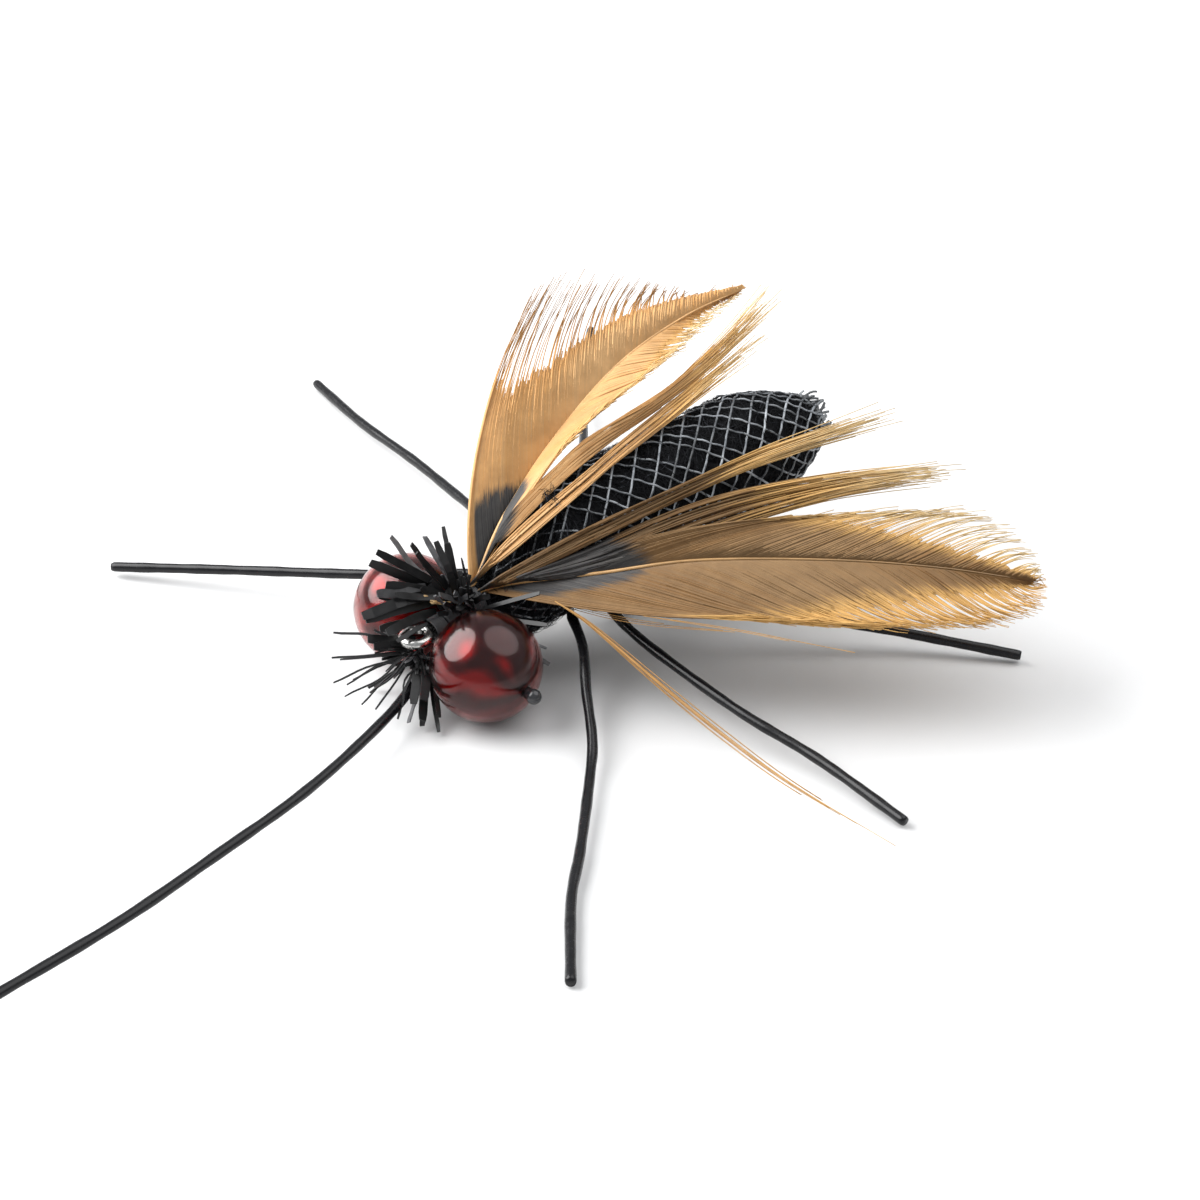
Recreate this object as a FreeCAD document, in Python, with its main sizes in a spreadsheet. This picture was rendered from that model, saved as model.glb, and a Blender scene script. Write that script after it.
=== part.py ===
import FreeCAD, Part
import math
import os
import Sketcher

# Cicada-pattern dry fly.  The origin is the centre of the hook-eye hole.  +X runs back towards
# the tail, +Y is the fly's right side and +Z is up.  The fly stands on its two bead eyes and the
# bottom of the hook bend, so the hook shank rises towards the tail by the pitch angle.  Every
# fixed piece is drawn along a level shank and then turned by that angle.  Legs and wings are
# drawn where they lie.

SIZES = {
    "pitch": 4.3,
    # hook
    "wire_radius": 0.25,
    "ring_wire_radius": 0.27,
    "eye_ring_radius": 0.7,
    "eye_hole_radius": 0.48,
    "shank_length": 16,
    "bend_radius": 2.37,
    "bend_angle": 190,
    "point_length": 2.4,
    "point_taper": 1.8,
    "tip_radius": 0.03,
    "barb_length": 0.9,
    "barb_radius": 0.16,
    "barb_angle": 22,
    "barb_sunk": 0.1,
    # thread on the shank
    "thread_start": 1.8,
    "thread_end": 15.4,
    "thread_radius": 0.42,
    "lashing_start": 1.02,
    "lashing_length": 0.72,
    "lashing_radius": 0.58,
    "lashing_below": 0.2,
    "whip_length": 0.6,
    "whip_radius": 0.5,
    # eyes
    "bead_radius": 3,
    "core_radius": 2.75,
    "bead_hole_radius": 0.3,
    "bead_drill_reach": 4.5,
    "bead_behind": 1.9,
    "bead_aside": 3.52,
    "bead_below": 0.94,
    "stem_radius": 0.25,
    "stem_behind": 1.32,
    "stem_below": 0.53,
    "knot_radius": 0.42,
    "knot_gap": 0.03,
    # body
    "axis_height": 1.56,
    "foam_start": 6.6,
    "foam_nose_radius": 0.6,
    "foam_full": 9.2,
    "foam_radius": 2.6,
    "taper_start": 22.6,
    "foam_end_radius": 0.65,
    "coat_start": 9,
    "coat_radius": 3.15,
    "coat_end": 27.2,
    "coat_end_radius": 1.25,
    "sleeve_radius": 3.4,
    "sleeve_end_radius": 1.5,
    "seal_length": 0.5,
    "seal_round": 0.3,
    "slot_depth": 3,
    "slot_end": 19.2,
    "bend_slot_start": 15.6,
    # bindings
    "foam_tie_depth": 0.16,
    "foam_tie_length": 0.8,
    "leg_tie_length": 0.9,
    "leg_tie_radius": 1.2,
    "leg_tie_below": 0.3,
    "wing_tie_start": 3.2,
    "wing_tie_length": 0.85,
    "wing_tie_radius": 1,
    "wing_tie_above": 0.3,
    "butt_radius": 0.2,
    # chenille
    "chenille_at": 2.9,
    "chenille_ring": 0.62,
    "chenille_core_radius": 0.18,
    "chenille_bore_length": 2,
    "fibre_root": 0.14,
    "fibre_tip": 0.05,
    # legs
    "leg_radius": 0.28,
    "socket_radius": 0.45,
    "socket_angle": 22,
    "socket_length": 2.2,
    # wings
    "rachis_root": 0.22,
    "rachis_tip": 0.08,
    "vane_thickness": 0.14,
    "vane_gap": 0.28,
}

QUILL_SIDES = 12

# Thorax sections: distance behind the eye, radius, height of the centre.
THORAX = [(4.15, 0.85, 0.0), (5.6, 1.25, 0.1), (7.4, 2.45, 1.0), (9.0, 3.3, 1.56)]

# Foam bindings sit in grooves at these distances behind the eye.
FOAM_TIES = {"front": 11.3, "rear": 20.5}

# Leg routes from the root to the free end, chosen by hand, in the final frame.
LEGS = {
    "head_leg": [(-0.1, -0.3, -1.9), (-2.2, -1.7, -2.2), (-6.0, -3.5, -2.25), (-11.0, -5.5, -2.15),
                 (-16.8, -7.2, -2.0), (-23.3, -8.95, -1.85), (-30.8, -10.1, -1.9)],
    "left_front_leg": [(8.2, -2.7, -0.5), (7.3, -4.9, -1.05), (5.6, -7.4, -1.8), (3.9, -10.1, -2.6),
                       (2.4, -11.9, -3.0), (-1.7, -16.4, -3.25), (-4.5, -19.3, -3.35),
                       (-8.2, -24.1, -3.4)],
    "right_front_leg": [(7.4, 2.7, -0.4), (5.0, 5.8, -0.9), (2.5, 8.8, -1.5), (-2.2, 15.0, -2.5),
                        (-6.8, 20.4, -3.2)],
    "left_middle_leg": [(10.3, -2.7, -0.3), (10.2, -5.0, -0.9), (10.45, -7.8, -1.45),
                        (11.1, -13.4, -2.2), (12.2, -18.4, -2.9), (12.6, -24.5, -3.4)],
    "right_middle_leg": [(10.6, 2.7, -0.1), (10.8, 7.0, -1.0), (11.8, 12.5, -1.8), (12.7, 18.5, -2.4),
                         (13.3, 25.0, -2.95), (14.3, 31.5, -3.4)],
    "left_rear_leg": [(13.4, -2.9, 0.1), (16.2, -6.0, -0.9), (19.3, -8.9, -1.8), (23.2, -12.5, -2.6),
                      (27.6, -17.4, -3.35)],
    "right_rear_leg": [(13.2, 2.9, 0.1), (16.8, 7.6, -0.8), (21.6, 13.6, -1.9), (26.6, 20.2, -2.8),
                       (32.2, 26.6, -3.4)],
}

# The held middle of each leg strand, from one end to the other, in the final frame.
STRANDS = {
    "head_leg_strand": [(0.25, -0.26, -1.72), (2.4, -0.02, -0.86)],
    "front_leg_strand": [(8.13, -2.22, -0.49), (7.47, 2.22, -0.41)],
    "middle_leg_strand": [(10.33, -2.22, -0.28), (10.57, 2.22, -0.12)],
    "rear_leg_strand": [(13.38, -2.42, 0.1), (13.22, 2.42, 0.1)],
}

# Wings: quill route, then the edges of the web along it and of the strip split off beside it.
WINGS = {
    "left_wing": {
        "rachis": [(4.35, -0.45, 1.45), (5.6, -1.6, 2.0), (8.7, -4.4, 2.75), (12.6, -7.9, 3.8),
                   (17.8, -12.6, 4.15), (22.0, -16.3, 3.9), (25.8, -19.8, 3.3)],
        "outer": [(8.2, -6.9, 2.1), (10.6, -10.8, 2.6), (14.6, -14.8, 2.8), (18.6, -18.6, 2.9),
                  (25.2, -20.6, 3.1)],
        "inner": [(9.8, -5.0, 3.1), (14.2, -7.2, 4.0), (20.6, -10.3, 4.5), (25.2, -13.0, 4.2),
                  (26.8, -18.8, 3.4)],
        "strip": ([(7.8, -2.3, 4.2), (10.3, -3.0, 5.1), (13.6, -3.4, 5.4), (17.5, -4.1, 5.7),
                   (22.0, -5.2, 6.3), (27.3, -7.0, 7.3)],
                  [(8.6, -3.4, 3.7), (11.0, -4.6, 4.1), (14.4, -6.0, 4.5), (18.2, -7.9, 5.1),
                   (22.4, -10.0, 5.7), (27.0, -12.0, 6.0)]),
    },
    "right_wing": {
        "rachis": [(4.35, 0.45, 1.7), (5.9, 1.1, 3.3), (7.6, 1.7, 4.6), (11.3, 3.0, 6.5),
                   (17.4, 5.2, 8.1), (24.2, 7.7, 7.9), (31.0, 10.1, 6.7)],
        "outer": [(6.6, 4.6, 5.6), (11.0, 8.4, 8.4), (17.6, 11.6, 9.8), (25.0, 12.0, 9.0),
                  (30.4, 11.0, 7.0)],
        "inner": [(8.3, 1.1, 5.5), (12.2, 2.0, 7.0), (18.3, 3.8, 7.8), (24.8, 6.3, 7.7),
                  (30.8, 9.3, 6.8)],
        "strip": ([(8.0, 0.3, 5.7), (10.5, 0.6, 6.7), (15.0, 1.6, 7.3), (20.5, 3.0, 7.7),
                   (25.5, 5.0, 7.9), (30.5, 6.3, 8.3)],
                  [(8.0, -0.9, 5.7), (10.5, -0.6, 6.7), (15.0, 0.2, 7.1), (20.5, 1.6, 7.5),
                   (25.5, 3.6, 7.6), (30.5, 4.9, 8.0)]),
    },
}

# Feather butts, from the binding to the cut end, along a level shank (left side; right mirrors).
BUTT_ROUTE = [(4.05, 0.4, 0.95), (2.55, 0.36, 1.15), (0.95, 0.3, 1.95)]

# Chenille fibres: root and tip of each, along a level shank.
FIBRES = [
    ((-0.75, 0.5, -0.9), (-3.6, 2.4, -1.1)), ((-0.8, 0.25, -1.2), (-4.4, 0.9, -1.6)),
    ((-0.6, 0.85, -0.6), (-3.2, 3.6, 0.1)), ((-0.8, -0.1, -0.85), (-4.6, -0.5, -1.2)),
    ((-0.75, -0.5, -0.6), (-4.4, -2.0, -0.9)), ((-0.55, -0.9, -0.8), (-3.4, -3.2, -0.9)),
    ((0.65, 0.6, -1.5), (-1.6, 2.0, -3.2)), ((-0.75, 0.35, -1.7), (-2.6, 1.4, -2.9)),
    ((2.9, 0.0, 1.2), (1.9, 0.2, 5.6)), ((2.95, -0.78, 1.05), (2.3, -1.3, 5.0)),
    ((2.95, 0.78, 1.05), (1.7, 1.6, 5.2)), ((2.55, 1.0, 1.05), (0.2, 3.0, 4.8)),
    ((2.3, 0.85, 1.4), (-1.4, 2.6, 3.6)), ((2.4, -0.85, 1.4), (1.0, -2.6, 4.1)),
    ((1.6, 0.8, 2.0), (-1.9, 1.6, 3.2)), ((3.4, -1.3, 0.8), (4.9, -4.4, 2.6)),
    ((3.4, 1.3, 0.8), (4.9, 4.4, 2.6)),
]

CENTRE = FreeCAD.Vector(0, 0, 0)
ALONG_X = FreeCAD.Rotation(FreeCAD.Vector(0, 1, 0), 90)

doc = FreeCAD.newDocument("dry_fly")
sheet = doc.addObject("Spreadsheet::Sheet", "sizes")
for row, (alias, value) in enumerate(SIZES.items(), start=1):
    sheet.set(f"A{row}", alias)
    sheet.set(f"B{row}", str(value))
    sheet.setAlias(f"B{row}", alias)
doc.recompute()

pieces = []


def size(alias):
    """A driving dimension as it stands in the sheet."""
    return float(sheet.get(alias))


PITCH = FreeCAD.Rotation(FreeCAD.Vector(0, 1, 0), -size("pitch"))


def piece(item, label, placement):
    """Name a finished sub-part and place it."""
    item.Label = label
    item.Placement = placement
    pieces.append(item)
    return item


def pitched(item, label):
    """A finished sub-part that was drawn along a level shank."""
    return piece(item, label, FreeCAD.Placement(CENTRE, PITCH))


def to_level(point):
    """A point of the final frame, seen along a level shank."""
    return PITCH.inverted().multVec(FreeCAD.Vector(*point))


def primitive(kind, name, sizes, at=(0, 0, 0), rotation=FreeCAD.Rotation()):
    """A Part primitive with its sizes and place bound to the sheet."""
    item = doc.addObject(kind, name)
    item.Placement = FreeCAD.Placement(CENTRE, rotation)
    for prop, expression in sizes.items():
        item.setExpression(prop, str(expression))
    for letter, expression in zip("xyz", at):
        item.setExpression(f"Placement.Base.{letter}", str(expression))
    return item


def rod(name, radius, length, at):
    """A round bar along X."""
    return primitive("Part::Cylinder", name, {"Radius": radius, "Height": length}, at, ALONG_X)


def solid(name, shape):
    """A construction solid whose shape comes from a route."""
    item = doc.addObject("Part::Feature", name)
    item.Shape = shape
    return item


def fuse(name, items):
    joined = doc.addObject("Part::MultiFuse", name)
    joined.Shapes = items
    return joined


def join_in_turn(name, items):
    """Items joined one after another."""
    whole = items[0]
    for number, item in enumerate(items[1:], start=1):
        joined = doc.addObject("Part::Fuse", f"{name}_{number}")
        joined.Base = whole
        joined.Tool = item
        whole = joined
    return whole


def cut(name, base, tools):
    """Base less all the tools."""
    result = doc.addObject("Part::Cut", name)
    result.Base = base
    result.Tool = tools[0] if len(tools) == 1 else fuse(name + "_tools", tools)
    return result


def turned(name, outline):
    """A body of revolution about the body axis, from (distance, radius) expressions."""
    body = doc.addObject("PartDesign::Body", name)
    plane = next(f for f in body.Origin.OriginFeatures if f.Role == "XZ_Plane")
    sketch = body.newObject("Sketcher::SketchObject", name + "_outline")
    sketch.AttachmentSupport = (plane, [""])
    sketch.MapMode = "FlatFace"
    corners = []
    for along, out in outline:
        corners.append([float(sheet.evalExpression(along)), float(sheet.evalExpression(out))])
    count = len(corners)
    for i, corner in enumerate(corners):
        after = corners[(i + 1) % count]
        line = Part.LineSegment(FreeCAD.Vector(*corner, 0), FreeCAD.Vector(*after, 0))
        sketch.addGeometry(line, False)
    for i in range(count):
        sketch.addConstraint(Sketcher.Constraint("Coincident", i, 2, (i + 1) % count, 1))
    for i, ((along, out), corner) in enumerate(zip(outline, corners)):
        bound = sketch.addConstraint(Sketcher.Constraint("DistanceX", -1, 1, i, 1, corner[0]))
        sketch.setExpression(f"Constraints[{bound}]", along)
        if corner[1] == 0:
            sketch.addConstraint(Sketcher.Constraint("PointOnObject", i, 1, -1))
            continue
        bound = sketch.addConstraint(Sketcher.Constraint("DistanceY", -1, 1, i, 1, corner[1]))
        sketch.setExpression(f"Constraints[{bound}]", out)
    turn = body.newObject("PartDesign::Revolution", name + "_turn")
    turn.Profile = sketch
    turn.ReferenceAxis = (sketch, ["H_Axis"])
    turn.Angle = 360
    body.setExpression("Placement.Base.z", "sizes.axis_height")
    return body


def strand_shape(route, radius):
    """A round strand: straight runs joined by tangent arcs as large as the runs allow."""
    edges = []
    start = route[0]
    radii = []
    for before, corner, after in zip(route, route[1:], route[2:]):
        arriving = corner - before
        leaving = after - corner
        reach = 0.45 * min(arriving.Length, leaving.Length)
        turn = arriving.getAngle(leaving)
        arriving.normalize()
        leaving.normalize()
        arc_start = corner - arriving * reach
        arc_end = corner + leaving * reach
        bisector = (leaving - arriving).normalize()
        arc_radius = reach / math.tan(turn / 2)
        centre_gap = arc_radius / math.cos(turn / 2)
        middle = corner + bisector * (centre_gap - arc_radius)
        edges.append(Part.LineSegment(start, arc_start).toShape())
        edges.append(Part.Arc(arc_start, middle, arc_end).toShape())
        radii.append(round(arc_radius, 1))
        start = arc_end
    edges.append(Part.LineSegment(start, route[-1]).toShape())
    path = Part.Wire(edges)
    section = Part.Wire([Part.makeCircle(radius, route[0], route[1] - route[0])])
    shape = path.makePipeShell([section], True, False)
    expected = math.pi * radius * radius * path.Length
    if abs(shape.Volume - expected) > 0.01 * expected:
        raise RuntimeError(f"strand volume {shape.Volume:.3f} is not {expected:.3f}")
    return shape, path.Length, radii


def bar_shape(start, end, radius):
    """A straight round bar between two points."""
    first = FreeCAD.Vector(*start)
    along = FreeCAD.Vector(*end) - first
    return Part.makeCylinder(radius, along.Length, first, along)


def hook_path():
    """The hook's centre line: level shank, round bend and the spear that rises to the point."""
    reach = size("shank_length")
    radius = size("bend_radius")
    tilt = math.radians(size("bend_angle") - 180)
    start = FreeCAD.Vector(size("eye_ring_radius"), 0, 0)
    bend_start = FreeCAD.Vector(reach, 0, 0)
    bend_middle = FreeCAD.Vector(reach + radius, 0, -radius)
    bend_end = FreeCAD.Vector(reach - radius * math.sin(tilt), 0, -radius * (1 + math.cos(tilt)))
    forward = FreeCAD.Vector(-math.cos(tilt), 0, math.sin(tilt))
    spear_end = bend_end + forward * size("point_length")
    edges = [Part.LineSegment(start, bend_start).toShape(),
             Part.Arc(bend_start, bend_middle, bend_end).toShape(),
             Part.LineSegment(bend_end, spear_end).toShape()]
    return Part.Wire(edges), spear_end, forward


def hook():
    """Bent wire with a ringed eye, a round bend, a tapered point and a small barb."""
    path, spear_end, forward = hook_path()
    radius = size("wire_radius")
    section = Part.Wire([Part.makeCircle(radius, path.Vertexes[0].Point, FreeCAD.Vector(1, 0, 0))])
    wire = solid("hook_bar", path.makePipeShell([section], True, False))
    tip = solid("hook_tip", Part.makeCone(radius, size("tip_radius"), size("point_taper"),
                                          spear_end, forward))
    upward = FreeCAD.Rotation(FreeCAD.Vector(0, 1, 0), -size("barb_angle"))
    barb = solid("hook_barb", Part.makeCone(size("barb_radius"), size("tip_radius"),
                                            size("barb_length"), spear_end - forward * size("barb_sunk"),
                                            upward.multVec(-forward)))
    ring = primitive("Part::Torus", "ring",
                     {"Radius1": "sizes.eye_ring_radius", "Radius2": "sizes.ring_wire_radius"})
    hole = primitive("Part::Cylinder", "eye_hole",
                     {"Radius": "sizes.eye_hole_radius", "Height": "4 * sizes.wire_radius"},
                     (0, 0, "-2 * sizes.wire_radius"))
    ringed = join_in_turn("hook_wire", [wire, tip, ring])
    drilled = cut("hook_drilled", ringed, [hole])
    pitched(join_in_turn("hook_body", [drilled, barb]), "hook")


def thread_sleeve(name, start, length, radius, centre, tools):
    """Wraps of tying thread, as one closed band along the shank."""
    band = rod(name + "_band", radius, length, (start, 0, centre))
    pitched(cut(name + "_cut", band, tools), name)


def eye_stem():
    """One length of monofilament through both beads, with a melted ball at each end."""
    apex = to_point("stem_behind", 0, "stem_below")
    balls = [Part.makeSphere(size("stem_radius"), apex)]
    for side in (-1, 1):
        bead = to_point("bead_behind", side, "bead_below")
        out = (bead - apex).normalize()
        end = bead + out * (size("bead_radius") + size("knot_radius") + size("knot_gap"))
        balls.append(bar_shape(apex, end, size("stem_radius")))
        balls.append(Part.makeSphere(size("knot_radius"), end))
    shape = balls[0].multiFuse(balls[1:])
    return solid("stem_bar", shape)


def to_point(behind, side, below):
    """A point of the eye assembly along a level shank."""
    return FreeCAD.Vector(size(behind), side * size("bead_aside"), -size(below))


def eye(side_name, side):
    """A bead eye: coloured core inside a clear lacquer shell, both drilled for the stem."""
    apex = to_point("stem_behind", 0, "stem_below")
    bead = to_point("bead_behind", side, "bead_below")
    out = (bead - apex).normalize() * size("bead_drill_reach")
    centre = ("sizes.bead_behind", f"{side} * sizes.bead_aside", "-sizes.bead_below")
    name = side_name + "_eye"
    drill = solid(name + "_drill", bar_shape(bead - out, bead + out, size("bead_hole_radius")))
    core = primitive("Part::Sphere", name + "_ball", {"Radius": "sizes.core_radius"}, centre)
    pitched(cut(name + "_core_cut", core, [drill]), name + "_core")
    shell = primitive("Part::Sphere", name + "_outside", {"Radius": "sizes.bead_radius"}, centre)
    inside = primitive("Part::Sphere", name + "_inside", {"Radius": "sizes.core_radius"}, centre)
    pitched(cut(name + "_shell_cut", shell, [inside, drill]), name + "_lacquer")


def leg_sockets():
    """Flared pockets that leave each leg room to swing at its root."""
    sockets = []
    wide = size("socket_length") * math.tan(math.radians(size("socket_angle")))
    for name, route in LEGS.items():
        root = to_level(route[0])
        out = to_level(route[1]) - root
        narrow = size("socket_radius")
        cone = Part.makeCone(narrow, narrow + wide, size("socket_length"), root, out)
        sockets.append(cone.fuse(Part.makeSphere(narrow, root)))
    return solid("leg_sockets", sockets[0].multiFuse(sockets[1:]))


def strand_bars():
    """The held middles of the leg strands, along a level shank."""
    bars = {}
    for name, (start, end) in STRANDS.items():
        shape = bar_shape(to_level(start), to_level(end), size("leg_radius"))
        bars[name] = solid(name + "_bar", shape)
    return bars


def leg_ties(shank_core, bars):
    """Thread bindings that hold each strand's middle under the shank."""
    ties = []
    for place in ("front", "middle", "rear"):
        start, end = STRANDS[place + "_leg_strand"]
        middle = (to_level(start) + to_level(end)) * 0.5
        at = (f"{middle.x} - sizes.leg_tie_length / 2", 0, "-sizes.leg_tie_below")
        band = rod(place + "_tie_band", "sizes.leg_tie_radius", "sizes.leg_tie_length", at)
        whole = cut(place + "_tie_cut", band, [shank_core, bars[place + "_leg_strand"]])
        pitched(whole, place + "_leg_tie")
        ties.append(band)
    return ties


def foam_ties():
    """Thread bindings let into the foam."""
    tools = []
    for place, start in FOAM_TIES.items():
        height = "sizes.axis_height"
        inner = "sizes.foam_radius - sizes.foam_tie_depth"
        outer = rod(place + "_foam_outer", "sizes.foam_radius", "sizes.foam_tie_length",
                    (start, 0, height))
        core = rod(place + "_foam_inner", inner, "sizes.foam_tie_length", (start, 0, height))
        ring = cut(place + "_foam_ring", outer, [core])
        tools.append(ring)
    return tools


def sleeve_outline(inner, inner_end, outer, outer_end, start):
    """Outline of a tapered tube that closes in towards the tail."""
    return [(start, inner), ("sizes.taper_start", inner), ("sizes.coat_end", inner_end),
            ("sizes.coat_end", outer_end), ("sizes.taper_start", outer), (start, outer)]


def abdomen(shank_core, bars, ties, sockets):
    """Foam underbody, fuzzy dubbing coat, braided sleeve and the seal at the tail."""
    slot_width = "2 * sizes.thread_radius"
    slot = primitive("Part::Box", "foam_slot",
                     {"Length": "sizes.slot_end", "Width": slot_width,
                      "Height": "sizes.slot_depth"},
                     (0, "-sizes.thread_radius", "-sizes.slot_depth"))
    bend_slot = primitive("Part::Box", "bend_slot",
                          {"Length": "sizes.slot_end - sizes.bend_slot_start",
                           "Width": slot_width, "Height": "sizes.slot_depth"},
                          ("sizes.bend_slot_start", "-sizes.thread_radius", "-sizes.slot_depth"))
    foam = turned("foam_bar", [("sizes.foam_start", "0"),
                               ("sizes.foam_start", "sizes.foam_nose_radius"),
                               ("sizes.foam_full", "sizes.foam_radius"),
                               ("sizes.taper_start", "sizes.foam_radius"),
                               ("sizes.coat_end", "sizes.foam_end_radius"),
                               ("sizes.coat_end", "0")])
    rings = foam_ties()
    tools = [slot, shank_core, sockets] + rings + ties
    tools += [bars[name] for name in STRANDS if name != "head_leg_strand"]
    pitched(cut("foam_cut", foam, tools), "foam_underbody")
    for place, ring in zip(FOAM_TIES, rings):
        pitched(cut(place + "_foam_tie_cut", ring, [slot]), place + "_foam_tie")
    coat = turned("coat_tube", sleeve_outline("sizes.foam_radius", "sizes.foam_end_radius",
                                              "sizes.coat_radius", "sizes.coat_end_radius",
                                              "sizes.coat_start"))
    openings = [bend_slot, sockets, bars["rear_leg_strand"], bars["middle_leg_strand"]]
    pitched(cut("coat_cut", coat, openings + ties), "dubbing_coat")
    sleeve = turned("sleeve_tube", sleeve_outline("sizes.coat_radius", "sizes.coat_end_radius",
                                                  "sizes.sleeve_radius", "sizes.sleeve_end_radius",
                                                  "sizes.coat_start"))
    pitched(cut("sleeve_cut", sleeve, openings), "mesh_sleeve")
    plug = rod("seal_plug", "sizes.sleeve_end_radius", "sizes.seal_length",
               ("sizes.coat_end", 0, "sizes.axis_height"))
    doc.recompute()
    seal = doc.addObject("Part::Fillet", "seal_round")
    seal.Base = plug
    rims = [i for i, edge in enumerate(plug.Shape.Edges, start=1) if edge.Closed]
    far = max(rims, key=lambda i: plug.Shape.Edges[i - 1].CenterOfMass.x)
    seal.Edges = [(far, size("seal_round"), size("seal_round"))]
    pitched(seal, "tail_seal")
    return foam


def thorax(foam, shank_core, bars, ties, sockets):
    """Dubbed thorax, thin behind the head and as thick as the abdomen at its rear."""
    rings = []
    for number, (along, radius, height) in enumerate(THORAX):
        ring = doc.addObject("Part::Circle", f"thorax_ring_{number}")
        ring.Radius = radius
        ring.Placement = FreeCAD.Placement(FreeCAD.Vector(along, 0, height), ALONG_X)
        rings.append(ring)
    loft = doc.addObject("Part::Loft", "thorax_loft")
    loft.Sections = rings
    loft.Solid = True
    loft.Ruled = True
    tools = [foam, shank_core, sockets, bars["front_leg_strand"]] + ties
    pitched(cut("thorax_cut", loft, tools), "thorax_dubbing")


def feather_butts(shank_core):
    """Cut ends of the two quills and the band of thread that holds them."""
    bars = []
    for side_name, side in (("left", -1), ("right", 1)):
        route = [FreeCAD.Vector(x, side * y, z) for x, y, z in BUTT_ROUTE]
        shape, _, _ = strand_shape(route, size("butt_radius"))
        bars.append(solid(side_name + "_butt_bar", shape))
    thread_sleeve("wing_tie", "sizes.wing_tie_start", "sizes.wing_tie_length",
                  "sizes.wing_tie_radius", "sizes.wing_tie_above", [shank_core] + bars)
    for side_name, bar in zip(("left", "right"), bars):
        pitched(copy_of(bar), side_name + "_wing_butt")


def copy_of(item):
    """A sub-part with the same solid as a construction item."""
    return solid(item.Name + "_piece", item.Shape.copy())


def chenille():
    """Twisted core behind the eyes and the flat fibres that stand out from it."""
    core = primitive("Part::Torus", "chenille_ring",
                     {"Radius1": "sizes.chenille_ring", "Radius2": "sizes.chenille_core_radius"},
                     ("sizes.chenille_at", 0, 0), ALONG_X)
    pitched(core_piece(core), "chenille_core")
    blades = []
    for root, tip in FIBRES:
        start = FreeCAD.Vector(*root)
        along = FreeCAD.Vector(*tip) - start
        blade = Part.makeCone(size("fibre_root"), size("fibre_tip"), along.Length, start, along)
        blades.append(blade)
    pitched(solid("fibre_blades", Part.makeCompound(blades)), "chenille_fibres")


def core_piece(core):
    """The chenille ring, cleared of the thread that it is wound over."""
    start = "sizes.chenille_at - sizes.chenille_bore_length / 2"
    bore = rod("chenille_bore", "sizes.thread_radius", "sizes.chenille_bore_length", (start, 0, 0))
    return cut("chenille_core_cut", core, [bore])


def plate(near, far, thickness):
    """A thin web between two edges, as a chain of ruled sections."""
    wires = []
    count = len(near)
    for i in range(count):
        across = far[i] - near[i]
        along = near[min(i + 1, count - 1)] - near[max(i - 1, 0)]
        normal = across.cross(along).normalize() * (thickness / 2)
        corners = [near[i] + normal, far[i] + normal, far[i] - normal, near[i] - normal]
        wires.append(Part.makePolygon(corners + corners[:1]))
    return Part.makeLoft(wires, True, True)


def quill(route):
    """The feather's tapered shaft, many-sided, as a chain of ruled sections."""
    last = len(route) - 1
    wires = []
    for i, point in enumerate(route):
        along = route[min(i + 1, last)] - route[max(i - 1, 0)]
        aside = along.cross(FreeCAD.Vector(0, 0, 1)).normalize()
        upward = aside.cross(along).normalize()
        share = i / last
        radius = size("rachis_root") * (1 - share) + size("rachis_tip") * share
        corners = []
        for step in range(QUILL_SIDES):
            angle = 2 * math.pi * step / QUILL_SIDES
            out = aside * math.cos(angle) + upward * math.sin(angle)
            corners.append(point + out * radius)
        wires.append(Part.makePolygon(corners + corners[:1]))
    return Part.makeLoft(wires, True, True)


def beside(route, edge):
    """The quill's own side of a web: the route, moved a little towards the edge."""
    gap = size("vane_gap") + size("rachis_root")
    return [point + (side - point).normalize() * gap for point, side in zip(route, edge)]


def from_root(points, root):
    """Points of the final frame, measured from a moving piece's root."""
    return [FreeCAD.Vector(*point) - root for point in points]


def at_root(shape, root, label):
    """A moving piece drawn from its root, and placed there."""
    placed = FreeCAD.Placement(root, FreeCAD.Rotation())
    return piece(solid(label + "_shape", shape), label, placed)


def wing(name, parts):
    """A feather wing: quill, web on both sides of it, and a strip split off the web."""
    root = FreeCAD.Vector(*parts["rachis"][0])
    route = from_root(parts["rachis"], root)
    thickness = size("vane_thickness")
    at_root(quill(route), root, name + "_quill")
    webs = []
    for side in ("outer", "inner"):
        edge = from_root(parts[side], root)
        webs.append(plate(beside(route[2:], edge), edge, thickness))
    at_root(Part.makeCompound(webs), root, name + "_web")
    near, far = (from_root(edge, root) for edge in parts["strip"])
    at_root(plate(near, far, thickness), root, name + "_split_web")


def leg(name, route):
    """A free rubber leg."""
    root = FreeCAD.Vector(*route[0])
    shape, length, radii = strand_shape(from_root(route, root), size("leg_radius"))
    print(f"{name}: length {length:.1f} mm, arc radii {radii}")
    at_root(shape, root, name)


def check():
    """Stop before writing if any object failed."""
    doc.recompute()
    for item in doc.Objects:
        if "Invalid" in item.State or "Error" in item.State:
            raise RuntimeError(f"{item.Label} failed: {item.State}")
    for item in pieces:
        if item.Shape.isNull() or not item.Shape.isValid() or not item.Shape.Solids:
            raise RuntimeError(f"{item.Label} has no valid solid")


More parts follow.
